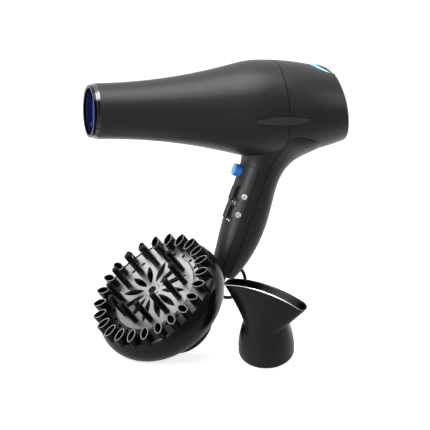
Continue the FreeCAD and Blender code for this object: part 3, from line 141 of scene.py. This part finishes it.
def lipped(name, colour, roughness, edge):
    """Dark chrome behind a front lip of plain glossy black."""
    material, principled, tree, add = new_material(name)
    principled.inputs["Specular IOR Level"].default_value = 0.3
    place = add("ShaderNodeTexCoord").outputs["Object"]
    split = add("ShaderNodeSeparateXYZ", {"Vector": place})
    behind = add("ShaderNodeMapRange", {"Value": split.outputs["X"], "From Min": edge,
                                        "From Max": edge + 0.3 * MM})
    cloud = add("ShaderNodeTexNoise", {"Vector": place, "Scale": 35.0, "Detail": 3.0})
    tone = add("ShaderNodeMapRange", {"Value": cloud.outputs["Fac"], "To Min": 0.9, "To Max": 1.1})
    shade = add("ShaderNodeMath", {0: behind.outputs["Result"], 1: tone.outputs["Result"]},
                operation="MULTIPLY")
    tint = add("ShaderNodeVectorMath", {0: tuple(colour), "Scale": shade.outputs["Value"]}, operation="SCALE")
    tree.links.new(tint.outputs["Vector"], principled.inputs["Base Color"])
    tree.links.new(behind.outputs["Result"], principled.inputs["Metallic"])
    rough = add("ShaderNodeMapRange", {"Value": cloud.outputs["Fac"], "To Min": roughness * 0.9,
                                       "To Max": roughness * 1.1})
    tree.links.new(rough.outputs["Result"], principled.inputs["Roughness"])
    return material


def plate_with_painted_shade(name, colour, roughness):
    """The diffuser's silvered plate, with painted shade: darker towards the foot on its outer ring, a little
    darker towards the foot inside it too.
    """
    material, principled, tree, add = new_material(name)
    principled.inputs["Metallic"].default_value = 1.0
    low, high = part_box("diffuser_face")
    middle = (low + high) / 2
    rising = (Vector((0, 0, 1)) - BOWL_NORMAL * BOWL_NORMAL.z).normalized()
    place = add("ShaderNodeTexCoord").outputs["Object"]
    out = add("ShaderNodeVectorMath", {0: place, 1: tuple(middle)}, operation="SUBTRACT").outputs["Vector"]
    radius = add("ShaderNodeVectorMath", {0: out}, operation="LENGTH").outputs["Value"]
    rise = add("ShaderNodeVectorMath", {0: out, 1: tuple(rising)}, operation="DOT_PRODUCT").outputs["Value"]
    outer = add("ShaderNodeMapRange", {"Value": radius, "From Min": 40 * MM, "From Max": 42 * MM})
    # Painted shade: the colour falls off towards the plate's foot, strongly on the outer ring and less inside
    # it.
    painted_shade_outer = add("ShaderNodeMapRange", {"Value": rise, "From Min": -20 * MM, "From Max": 35 * MM,
                                       "To Min": 0.05, "To Max": 1.0})
    painted_shade_inner = add("ShaderNodeMapRange", {"Value": rise, "From Min": -30 * MM, "From Max": 25 * MM,
                                      "To Min": 0.45, "To Max": 1.0})
    cloud = add("ShaderNodeTexNoise", {"Vector": place, "Scale": 60.0, "Detail": 3.0})
    level = add("ShaderNodeMix", {"Factor": outer.outputs["Result"], "A": painted_shade_inner.outputs["Result"],
                                  "B": painted_shade_outer.outputs["Result"]})
    tone = add("ShaderNodeMath", {0: cloud.outputs["Fac"], 1: 0.1, 2: 0.95}, operation="MULTIPLY_ADD")
    shade = add("ShaderNodeMath", {0: level.outputs["Result"], 1: tone.outputs["Value"]},
                operation="MULTIPLY")
    tint = add("ShaderNodeVectorMath", {0: tuple(colour), "Scale": shade.outputs["Value"]}, operation="SCALE")
    tree.links.new(tint.outputs["Vector"], principled.inputs["Base Color"])
    rough = add("ShaderNodeMapRange", {"Value": cloud.outputs["Fac"], "To Min": roughness * 0.9,
                                       "To Max": roughness * 1.1})
    tree.links.new(rough.outputs["Result"], principled.inputs["Roughness"])
    return material


def glowing(name, colour, strength, roughness=0.35):
    """A surface lit from within or behind, brighter in slow patches along it."""
    material, principled, tree, add = new_material(name)
    principled.inputs["Roughness"].default_value = roughness
    place = add("ShaderNodeTexCoord").outputs["Object"]
    cloud = add("ShaderNodeTexNoise", {"Vector": place, "Scale": 60.0, "Detail": 2.0})
    tone = add("ShaderNodeMapRange", {"Value": cloud.outputs["Fac"], "To Min": 0.85, "To Max": 1.1})
    tint = add("ShaderNodeVectorMath", {0: tuple(colour), "Scale": tone.outputs["Result"]}, operation="SCALE")
    tree.links.new(tint.outputs["Vector"], principled.inputs["Base Color"])
    tree.links.new(tint.outputs["Vector"], principled.inputs["Emission Color"])
    principled.inputs["Emission Strength"].default_value = strength
    return material


soft_touch = grained("soft_touch_charcoal", (0.013, 0.013, 0.013), 0.42, grain=1400, relief=0.2)
panel_plastic = grained("panel_plastic", (0.022, 0.022, 0.022), 0.42, grain=1100, relief=0.15, specular=0.4)
rocker_plastic = grained("rocker_plastic", (0.012, 0.012, 0.012), 0.3, grain=1100, relief=0.1, specular=0.4)
trim_plastic = grained("trim_plastic", (0.03, 0.03, 0.03), 0.34, grain=600, relief=0.05, specular=0.4)
gloss_black = grained("gloss_black", (0.002, 0.002, 0.0022), 0.22, grain=300, relief=0.02, specular=0.2)
black_chrome = lipped("black_chrome", (0.2, 0.2, 0.21), 0.16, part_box("outlet_collar")[0].x + 2.5 * MM)
# Painted highlight: the pale grey of the strips beside the rockers.
painted_highlight_grey = grained("painted_highlight_grey", (0.06, 0.06, 0.06), 0.45, grain=1100, relief=0.1)
# Painted shadow: the black of the strips beside the rockers.
painted_shadow_black = grained("painted_shadow_black", (0.001, 0.001, 0.001), 0.6, grain=700, relief=0.05, specular=0.1)
mark_grey = grained("mark_grey", (0.04, 0.04, 0.04), 0.5, mottle=0.04)
bowl_black = grained("bowl_black", (0.002, 0.002, 0.0022), 0.22, grain=300, relief=0.02, specular=0.4)
scoop_black = edged("scoop_black", (0.002, 0.002, 0.0022), 0.3, BOWL_NORMAL, (0.42, 0.42, 0.42), 0.4, 0.2)
nozzle_black = grained("nozzle_black", (0.002, 0.002, 0.0022), 0.26, grain=400, relief=0.03, specular=0.6)
# Painted highlight: a bright metal band on the concentrator's mouth edge, standing in for the edge's
# highlight.
painted_rim_highlight = grained("painted_rim_highlight", (0.75, 0.75, 0.75), 0.3, grain=400, relief=0.03, mottle=0.04,
                      metallic=1.0)
bright_plate = plate_with_painted_shade("bright_plate", (0.8, 0.8, 0.8), 0.36)
button_blue = edged("button_blue", (0.03, 0.19, 0.62), 0.3, -HANDLE_BACK, (0.14, 0.5, 0.98), 0.3, 0.5,
                    metal=False)
ring_glow = glowing("ring_glow", (0.35, 0.72, 1.0), 0.55)
# Painted light: the heater sleeve glows blue, and the blue outlet grille glows too, though neither is a lamp.
painted_blue_glow = glowing("painted_blue_glow", (0.004, 0.02, 0.4), 0.7, 0.25)
grille_blue = glowing("grille_blue", (0.02, 0.05, 0.35), 0.35, 0.25)
soft_rubber = grained("soft_rubber", (0.012, 0.012, 0.012), 0.55, grain=900, relief=0.2)
flex = grained("flex", (0.011, 0.011, 0.012), 0.42, grain=700, relief=0.1)
moulded = grained("moulded_grey", (0.09, 0.09, 0.09), 0.5)
steel = grained("steel", (0.5, 0.5, 0.5), 0.28, metallic=1.0)
nickel = grained("nickel", (0.62, 0.6, 0.56), 0.2, grain=500, relief=0.04, metallic=1.0)
brass = grained("brass", (0.55, 0.4, 0.16), 0.3, metallic=1.0)
copper = grained("copper", (0.5, 0.2, 0.08), 0.35, grain=2500, relief=0.5, metallic=1.0)
mica = grained("mica", (0.4, 0.34, 0.22), 0.45, mottle=0.3)
board_green = grained("board_green", (0.02, 0.12, 0.05), 0.4)
mesh_steel = grained("mesh_steel", (0.12, 0.12, 0.12), 0.4, grain=3000, relief=0.6, metallic=1.0)
mark_white = grained("mark_white", (0.72, 0.72, 0.72), 0.5, mottle=0.04)
wire_blue = grained("wire_blue", (0.03, 0.08, 0.45), 0.4)

FINISH = {
    soft_touch: ["front_housing", "rear_housing", "filter_cover", "hanging_loop"],
    panel_plastic: ["switch_panel"],
    rocker_plastic: ["heat_rocker", "speed_rocker"],
    trim_plastic: ["left_side_trim", "right_side_trim"],
    gloss_black: ["light_ring_cap", "diffuser_fingers"],
    black_chrome: ["outlet_collar"],
    bowl_black: ["diffuser_bowl"],
    scoop_black: ["diffuser_scoops"],
    nozzle_black: ["concentrator_nozzle"],
    bright_plate: ["diffuser_face"],
    button_blue: ["cool_shot_button"],
    ring_glow: ["light_ring"],
    grille_blue: ["outlet_grille"],
    soft_rubber: ["cord_guard", "damper_ring", "cord_tie"],
    flex: ["cord_lead", "cord_coil", "cord_tail", "inner_cord", "plug_body"],
    moulded: ["fan_duct", "front_bearing_bracket", "rear_bearing_bracket", "fan_impeller", "heat_switch_body",
              "speed_switch_body", "cool_shot_switch", "cord_clamp"],
    steel: ["handle_screw", "heating_coil", "motor_stator", "motor_rotor"],
    painted_blue_glow: ["heater_sleeve"],
    nickel: ["plug_pins"],
    brass: ["thermostat", "thermal_fuse"],
    copper: ["stator_windings"],
    mica: ["mica_frame"],
    board_green: ["control_board", "led_board"],
    mesh_steel: ["filter_mesh"],
    wire_blue: ["supply_leads"],
}
for material, names in FINISH.items():
    for name in names:
        nodes[name].data.materials.clear()
        nodes[name].data.materials.append(material)


# Cord -------------------------------------------------------------------------------------------------------

CORD = 6.2 * MM
TIE = 0.8 * MM
COIL_MIDDLE = Vector(((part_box("cord_coil")[0].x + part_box("cord_coil")[1].x) / 2,
                      (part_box("cord_coil")[0].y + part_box("cord_coil")[1].y) / 2, FLOOR))
COIL_RADIUS = 33.7 * MM
COIL_TURNS = 8
PLUG_TURN = radians(-60)
LEAD = [(-41.3, 0, -111.6), (-43.97, 0, -119.1), (-46.8, 1.4, -126.3), (-49.5, 6.5, -131.7),
        (-50.8, 15, -132.9), (-51.6, 27, -132.9), (-49.6, 39, -132.6), (-45, 50.5, -132.1)]
LAST = [(36.8, 5.4, 24.3), (32.7, 15.3, 28), (25.1, 22.9, 32.2), (15.2, 27, 35.6), (4.5, 27, 36.6)]


def coil_points():
    """The coil's turns, worked out from the lead's end: columns out, in, in and out again, layer on layer."""
    start = Vector(LEAD[-1]) * MM - COIL_MIDDLE
    first = atan2(start.y, start.x)
    swing = COIL_TURNS * 2 * pi + PLUG_TURN - first - 0.3
    per_turn = 16
    count = int(swing / (2 * pi) * per_turn)
    points = []
    for index in range(2, count):
        turned = swing * index / count
        turn = turned / (2 * pi)
        whole = int(turn)
        part = turn - whole
        blend = min(max((part - 0.8) / 0.2, 0), 1)
        blend = blend * blend * (3 - 2 * blend)

        def column(number):
            return 0.5 if number % 4 in (0, 3) else -0.5

        after = min(whole + 1, COIL_TURNS - 1)
        across = column(whole) * (1 - blend) + column(after) * blend
        layer = (whole // 2) * (1 - blend) + (after // 2) * blend
        radius = COIL_RADIUS + across * CORD
        angle = first + turned
        height = FLOOR + TIE + CORD / 2 + layer * CORD
        points.append(Vector((COIL_MIDDLE.x + radius * cos(angle), COIL_MIDDLE.y + radius * sin(angle),
                              height)))
    return points


def last_points():
    """The last stretch, from the coil's top into the plug's tail."""
    points = []
    for along, across, up in LAST:
        offset = Vector((along * cos(PLUG_TURN) - across * sin(PLUG_TURN),
                         along * sin(PLUG_TURN) + across * cos(PLUG_TURN), up)) * MM
        points.append(COIL_MIDDLE + offset)
    return points


def cord_curve(name, points, thickness, material):
    curve = bpy.data.curves.new(name, "CURVE")
    curve.dimensions = "3D"
    curve.bevel_depth = thickness / 2
    curve.bevel_resolution = 5
    curve.resolution_u = 6
    spline = curve.splines.new("NURBS")
    spline.points.add(len(points) - 1)
    for point, place in zip(spline.points, points):
        point.co = (*place, 1)
    spline.order_u = 3
    spline.use_endpoint_u = True
    curve.materials.append(material)
    piece = bpy.data.objects.new(name, curve)
    scene.collection.objects.link(piece)
    return piece


route = [Vector(point) * MM for point in LEAD] + coil_points() + last_points()
mains_cord = cord_curve("mains_cord", route, CORD, flex)
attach(mains_cord, "dryer")
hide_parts("cord_lead", "cord_coil", "cord_tail")


# Concentrator -----------------------------------------------------------------------------------------------

SOCKET = mounts["concentrator_socket"]
NOZZLE_BORE = SOCKET["dims"]["r_mm"]
NOZZLE_SOCKET = SOCKET["dims"]["length_mm"]
NOZZLE_YAW = radians(-44.1)
NOZZLE_RADIUS = 25.0
NOZZLE_SKIN = 1.4
WAIST_HEIGHT = 36.0
WAIST_RADIUS = 19.6
MOUTH_HEIGHT = 74.0
MOUTH_HALF_LENGTH = 40.5
MOUTH_HALF_WIDTH = 5.4
MOUTH_CROWN = 98.5
EDGE_ROUND = 0.5
INNER_EDGE_SINK = 0.4
BORE_CHAMFER = 0.3
COLLAR_STEPS = 6
BLADE_STEPS = 24
INNER_STEPS = 12
INNER_REACH = 0.98


def nozzle_frame():
    """Where the concentrator stands and leans, with its axis as Z. Its mount is half way up the socket."""
    axis = -Vector(SOCKET["axis"])
    foot = Vector(SOCKET["pos_m"]) - axis * NOZZLE_SOCKET / 2 * MM
    turn = atan2(axis.y, axis.x)
    turns = (Matrix.Rotation(turn, 4, "Z") @ Matrix.Rotation(acos(axis.z), 4, "Y")
             @ Matrix.Rotation(NOZZLE_YAW - turn, 4, "Z"))
    return Matrix.Translation(foot) @ turns


def mouth_point(angle, inset):
    """A point of the slot's outline: straight sides with round ends."""
    reach = (MOUTH_HALF_LENGTH - inset) * cos(angle)
    half = MOUTH_HALF_WIDTH - inset
    past = max(abs(reach) - (MOUTH_HALF_LENGTH - MOUTH_HALF_WIDTH), 0)
    side = sqrt(max(half * half - past * past, 0))
    return reach, side if sin(angle) >= 0 else -side


def nozzle_mesh(count=160):
    """The concentrator as one closed skin: up its outside, over the mouth's edge and down its inside."""
    angles = [2 * pi * index / count for index in range(count)]

    def round_ring(radius, height):
        return [(radius * cos(angle), radius * sin(angle), height) for angle in angles]

    def blade_ring(share, inset, lift=0.0):
        ring = []
        for angle in angles:
            x, y = mouth_point(angle, inset)
            top = MOUTH_HEIGHT - MOUTH_CROWN + sqrt(MOUTH_CROWN ** 2 - x * x)
            low = WAIST_RADIUS - inset
            ring.append((low * cos(angle) + (x - low * cos(angle)) * share,
                         low * sin(angle) + (y - low * sin(angle)) * share,
                         WAIST_HEIGHT + share * (top - WAIST_HEIGHT) + lift))
        return ring

    rings = [round_ring(NOZZLE_RADIUS - EDGE_ROUND, 0), round_ring(NOZZLE_RADIUS, EDGE_ROUND),
             round_ring(NOZZLE_RADIUS, NOZZLE_SOCKET)]
    for step in range(1, COLLAR_STEPS + 1):
        height = NOZZLE_SOCKET + (WAIST_HEIGHT - NOZZLE_SOCKET) * step / COLLAR_STEPS
        share = step / COLLAR_STEPS
        drawn_in = (NOZZLE_RADIUS - WAIST_RADIUS) * (0.35 * share + 0.65 * share ** 2)
        rings.append(round_ring(NOZZLE_RADIUS - drawn_in, height))
    for step in range(1, BLADE_STEPS + 1):
        rings.append(blade_ring(step / BLADE_STEPS, 0, 0 if step < BLADE_STEPS else -EDGE_ROUND))
    edge = len(rings)
    rings.append(blade_ring(1, EDGE_ROUND))
    rings.append(blade_ring(1, 2 * EDGE_ROUND))
    rings.append(blade_ring(1, NOZZLE_SKIN, -INNER_EDGE_SINK))
    for step in range(INNER_STEPS, -1, -1):
        rings.append(blade_ring(step / INNER_STEPS * INNER_REACH, NOZZLE_SKIN))
    rings += [round_ring(WAIST_RADIUS - NOZZLE_SKIN, WAIST_HEIGHT - 1),
              round_ring(NOZZLE_BORE - NOZZLE_SKIN, NOZZLE_SOCKET), round_ring(NOZZLE_BORE, NOZZLE_SOCKET),
              round_ring(NOZZLE_BORE, EDGE_ROUND), round_ring(NOZZLE_BORE + BORE_CHAMFER, 0)]
    place = nozzle_frame()
    points = [place @ (Vector(point) * MM) for ring in rings for point in ring]
    faces, slots = [], []
    for row in range(len(rings)):
        after = (row + 1) % len(rings)
        for column in range(count):
            beside = (column + 1) % count
            faces.append((row * count + column, row * count + beside, after * count + beside,
                          after * count + column))
            slots.append(1 if row == edge - 1 else 0)
    mesh = bpy.data.meshes.new("nozzle_skin")
    mesh.from_pydata(points, [], faces)
    mesh.materials.append(nozzle_black)
    # Painted highlight: the ring of faces round the mouth's edge takes the bright metal band.
    mesh.materials.append(painted_rim_highlight)
    mesh.polygons.foreach_set("material_index", slots)
    mesh.shade_smooth()
    mesh.set_sharp_from_angle(angle=radians(38))
    piece = bpy.data.objects.new("nozzle_skin", mesh)
    scene.collection.objects.link(piece)
    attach(piece, "concentrator")
    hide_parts("concentrator_nozzle")


nozzle_mesh()


# Marks on the switch panel: print, and painted shadows and highlights by the rockers
# ---------------------------

PANEL = BVHTree.FromObject(nodes["switch_panel"], bpy.context.evaluated_depsgraph_get())
HANDLE_ROUND = 17.0
CLEAR_OF_HANDLE = 40 * MM
TO_SURFACE = 22 * MM
STROKE_STEP = 0.79


def on_panel(around, down, lift):
    """A point just off the switch panel: millimetres round the handle from its front, and down it."""
    turn = around / HANDLE_ROUND
    outward = -HANDLE_BACK * cos(turn) - Vector((0, sin(turn), 0))
    start = HANDLE_DOWN * down * MM + outward * CLEAR_OF_HANDLE
    place = PANEL.ray_cast(start, -outward)[0] or PANEL.find_nearest(start - outward * TO_SURFACE)[0]
    return place + outward * lift * MM


def disc(around, down, radius):
    """Rings of places, from the rim to the middle."""
    return [[(around + radius * share * cos(pi * turn / 12), down + radius * share * sin(pi * turn / 12))
             for turn in range(25)] for share in (1, 0.66, 0.33, 0.02)]


def stroke(start, end, width):
    """Places along a straight line that has a width."""
    along = Vector(end) - Vector(start)
    side = Vector((-along.y, along.x)).normalized() * width / 2
    steps = max(int(along.length / STROKE_STEP), 1)
    middles = [Vector(start) + along * step / steps for step in range(steps + 1)]
    return [[tuple(middle + side * across) for middle in middles] for across in (-1, 0, 1)]


def marks(name, material, lift, sheets):
    """A thin piece on the switch panel, from rows of places on it: the printed marks, and the painted shadows
    and highlights beside the rockers.
    """
    points, faces = [], []
    for rows in sheets:
        for row in rows:
            points += [on_panel(around, down, lift) for around, down in row]
        width = len(rows[0])
        first = len(points) - width * len(rows)
        for row in range(len(rows) - 1):
            for column in range(width - 1):
                corner = first + row * width + column
                faces.append((corner, corner + 1, corner + width + 1, corner + width))
    mesh = bpy.data.meshes.new(name)
    mesh.from_pydata(points, [], faces)
    mesh.materials.append(material)
    piece = bpy.data.objects.new(name, mesh)
    scene.collection.objects.link(piece)
    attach(piece, "dryer")


def down_handle(node):
    """How far down the handle a rocker's middle is, in millimetres."""
    low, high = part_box(node)
    return (low + high).dot(HANDLE_DOWN) / 2 / MM


HEAT = down_handle("heat_rocker")
SPEED = down_handle("speed_rocker")
THERMOMETER = (16.0, HEAT - 0.7)
FAN_MARK = (16.1, SPEED - 0.9)
# Painted shadow: black strips on the panel along and across each rocker's slot, where the slot lies in shade.
marks("slot_shadows", painted_shadow_black, 0.05, [
    stroke((7.3, HEAT - 7.6), (7.6, HEAT + 3.0), 2.6), stroke((6.4, HEAT - 7.9), (9.8, HEAT - 7.7), 0.8),
    stroke((6.4, HEAT + 3.5), (12.9, HEAT + 4.3), 0.8),
    stroke((7.3, SPEED - 6.6), (7.6, SPEED + 3.0), 2.6), stroke((6.4, SPEED - 7.0), (9.8, SPEED - 6.8), 0.8),
    stroke((6.4, SPEED + 3.7), (12.1, SPEED + 4.4), 0.8)])
# Painted highlight: pale strips on the panel beside each rocker, where its slot's side catches the light.
marks("slot_side_highlights", painted_highlight_grey, 0.05, [
    stroke((11.4, HEAT - 6.6), (12.0, HEAT + 1.2), 2.0),
    stroke((11.0, SPEED - 6.0), (11.6, SPEED + 2.2), 2.0)])
marks("switch_marks", mark_white, 0.06, [
    disc(*THERMOMETER, 2.6), disc(*FAN_MARK, 2.6),
    stroke((6.2, HEAT + 5.8), (6.2, HEAT + 8.2), 0.4),
    stroke((8.3, HEAT + 6.2), (9.7, HEAT + 6.5), 0.4), stroke((9.7, HEAT + 6.5), (8.5, HEAT + 8.3), 0.4),
    stroke((8.5, HEAT + 8.3), (10.1, HEAT + 8.5), 0.4),
    disc(6.3, SPEED + 6.4, 0.9), disc(8.8, SPEED + 6.9, 0.9)])
blades = [disc(FAN_MARK[0] + 1.25 * cos(turn), FAN_MARK[1] + 1.25 * sin(turn), 0.8)
          for turn in (0.6, 2.7, 4.8)]
marks("switch_mark_details", mark_grey, 0.12, [
    stroke((THERMOMETER[0] + 0.2, THERMOMETER[1] - 1.6), (THERMOMETER[0] - 0.2, THERMOMETER[1] + 0.9), 0.7),
    disc(THERMOMETER[0] - 0.2, THERMOMETER[1] + 1.0, 0.85)] + blades)


# Camera, floor and light ------------------------------------------------------------------------------------

def camera():
    """The camera's level, turn and distance round the dryer, all in its own frame."""
    azimuth, elevation, roll, distance = radians(-16), radians(10.07), radians(-1.01), 2.0
    aim = Vector((-0.03268, 0, -0.01397))
    right = Vector((cos(azimuth), sin(azimuth), 0))
    back = Vector((sin(azimuth) * cos(elevation), -cos(azimuth) * cos(elevation), sin(elevation)))
    up = back.cross(right)
    rolled = Matrix((right * cos(roll) - up * sin(roll), right * sin(roll) + up * cos(roll), back))
    data = bpy.data.cameras.new("camera")
    data.sensor_width = 36
    data.lens = 182.63
    data.clip_end = 20
    thing = bpy.data.objects.new("camera", data)
    thing.matrix_world = Matrix.Translation(aim + back * distance) @ rolled.transposed().to_4x4()
    scene.collection.objects.link(thing)
    scene.camera = thing


def softbox(name, place, target, width, height, power):
    data = bpy.data.lights.new(name, "AREA")
    data.shape = "RECTANGLE"
    data.size = width
    data.size_y = height
    data.energy = power
    lamp = bpy.data.objects.new(name, data)
    facing = Vector(target) - Vector(place)
    lamp.matrix_world = Matrix.Translation(place) @ facing.to_track_quat("-Z", "Y").to_matrix().to_4x4()
    scene.collection.objects.link(lamp)


def link(tree, kind, settings, *sources):
    """A node whose first inputs take these sockets or numbers."""
    node = tree.nodes.new(kind)
    for key, setting in settings.items():
        setattr(node, key, setting)
    for number, source in enumerate(sources):
        if isinstance(source, bpy.types.NodeSocket):
            tree.links.new(source, node.inputs[number])
        elif source is not None:
            node.inputs[number].default_value = source
    return node


def mirrored(tree):
    """One for a ray off a glossy surface or through a clear one, and one for a camera ray."""
    rays = tree.nodes.new("ShaderNodeLightPath")
    return link(tree, "ShaderNodeMath", {"operation": "MAXIMUM"}, rays.outputs["Is Glossy Ray"],
                rays.outputs["Is Transmission Ray"]).outputs[0], rays.outputs["Is Camera Ray"]


def rearward(tree, along, near, far, least):
    """The backdrop's level in a mirror: white behind the dryer, falling to a dim room in front of it."""
    smooth = {"interpolation_type": "SMOOTHSTEP"}
    return link(tree, "ShaderNodeMapRange", smooth, along, near, far, least, 1.0).outputs[0]


def world():
    """White to the camera; in a mirror white behind the dryer; a dim even studio as a source of light."""
    studio = bpy.data.worlds.new("studio")
    scene.world = studio
    studio.use_nodes = True
    tree = studio.node_tree
    tree.nodes.clear()
    glossy, camera_ray = mirrored(tree)
    place = tree.nodes.new("ShaderNodeTexCoord")
    split = link(tree, "ShaderNodeSeparateXYZ", {}, place.outputs["Generated"])
    level = rearward(tree, split.outputs["Y"], -0.6, 0.5, 0.1)
    white = link(tree, "ShaderNodeBackground", {}, (1, 1, 1, 1), 1.0)
    graded = link(tree, "ShaderNodeBackground", {}, (1, 1, 1, 1), level)
    dim = link(tree, "ShaderNodeBackground", {}, (1, 1, 1, 1), 0.3)
    inner = link(tree, "ShaderNodeMixShader", {}, glossy, dim.outputs[0], graded.outputs[0])
    outer = link(tree, "ShaderNodeMixShader", {}, camera_ray, inner.outputs[0], white.outputs[0])
    link(tree, "ShaderNodeOutputWorld", {}, outer.outputs[0])


def floor():
    """A pale floor that the camera sees as white, with the object's soft shadow on it."""
    material, principled, tree, add = new_material("pale_floor")
    principled.inputs["Roughness"].default_value = 0.7
    principled.inputs["Specular IOR Level"].default_value = 0.2
    glossy, camera_ray = mirrored(tree)
    place = tree.nodes.new("ShaderNodeTexCoord").outputs["Object"]
    split = link(tree, "ShaderNodeSeparateXYZ", {}, place)
    level = rearward(tree, split.outputs["Y"], -0.25, 0.3, 0.1)
    shown = link(tree, "ShaderNodeMix", {"data_type": "FLOAT"}, glossy)
    shown.inputs["A"].default_value = 1.0
    tree.links.new(level, shown.inputs["B"])
    cloud = add("ShaderNodeTexNoise", {"Vector": place, "Scale": 3.0})
    tone = add("ShaderNodeMapRange", {"Value": cloud.outputs["Fac"], "To Min": 0.84, "To Max": 0.86})
    graded = link(tree, "ShaderNodeMath", {"operation": "MULTIPLY"}, tone.outputs["Result"], shown.outputs[0])
    grey = link(tree, "ShaderNodeCombineColor", {}, graded.outputs[0], graded.outputs[0], graded.outputs[0])
    tree.links.new(grey.outputs["Color"], principled.inputs["Base Color"])
    behind = link(tree, "ShaderNodeMath", {"operation": "MULTIPLY"}, glossy, level)
    seen = link(tree, "ShaderNodeMath", {"operation": "MAXIMUM"}, camera_ray, behind.outputs[0])
    strength = link(tree, "ShaderNodeMath", {"operation": "MULTIPLY"}, seen.outputs[0], 0.78)
    glow = link(tree, "ShaderNodeEmission", {}, (1, 1, 1, 1), strength.outputs[0])
    both = link(tree, "ShaderNodeAddShader", {}, principled.outputs["BSDF"], glow.outputs[0])
    tree.links.new(both.outputs["Shader"], tree.nodes["Material Output"].inputs["Surface"])
    half = 4.0
    mesh = bpy.data.meshes.new("floor")
    corners = [(-half, -half, FLOOR), (half, -half, FLOOR), (half, half, FLOOR), (-half, half, FLOOR)]
    mesh.from_pydata(corners, [], [(0, 1, 2, 3)])
    mesh.materials.append(material)
    thing = bpy.data.objects.new("floor", mesh)
    scene.collection.objects.link(thing)


camera()
world()
floor()
softbox("top_softbox", (-0.2, -0.18, 0.98), (-0.05, 0, 0.05), 0.9, 0.75, 10)
softbox("left_softbox", (-0.9, -0.7, 0.25), (0, 0, 0), 0.25, 0.7, 7)
softbox("right_softbox", (0.9, -0.5, 0.5), (0, 0, 0.05), 0.3, 0.6, 2)
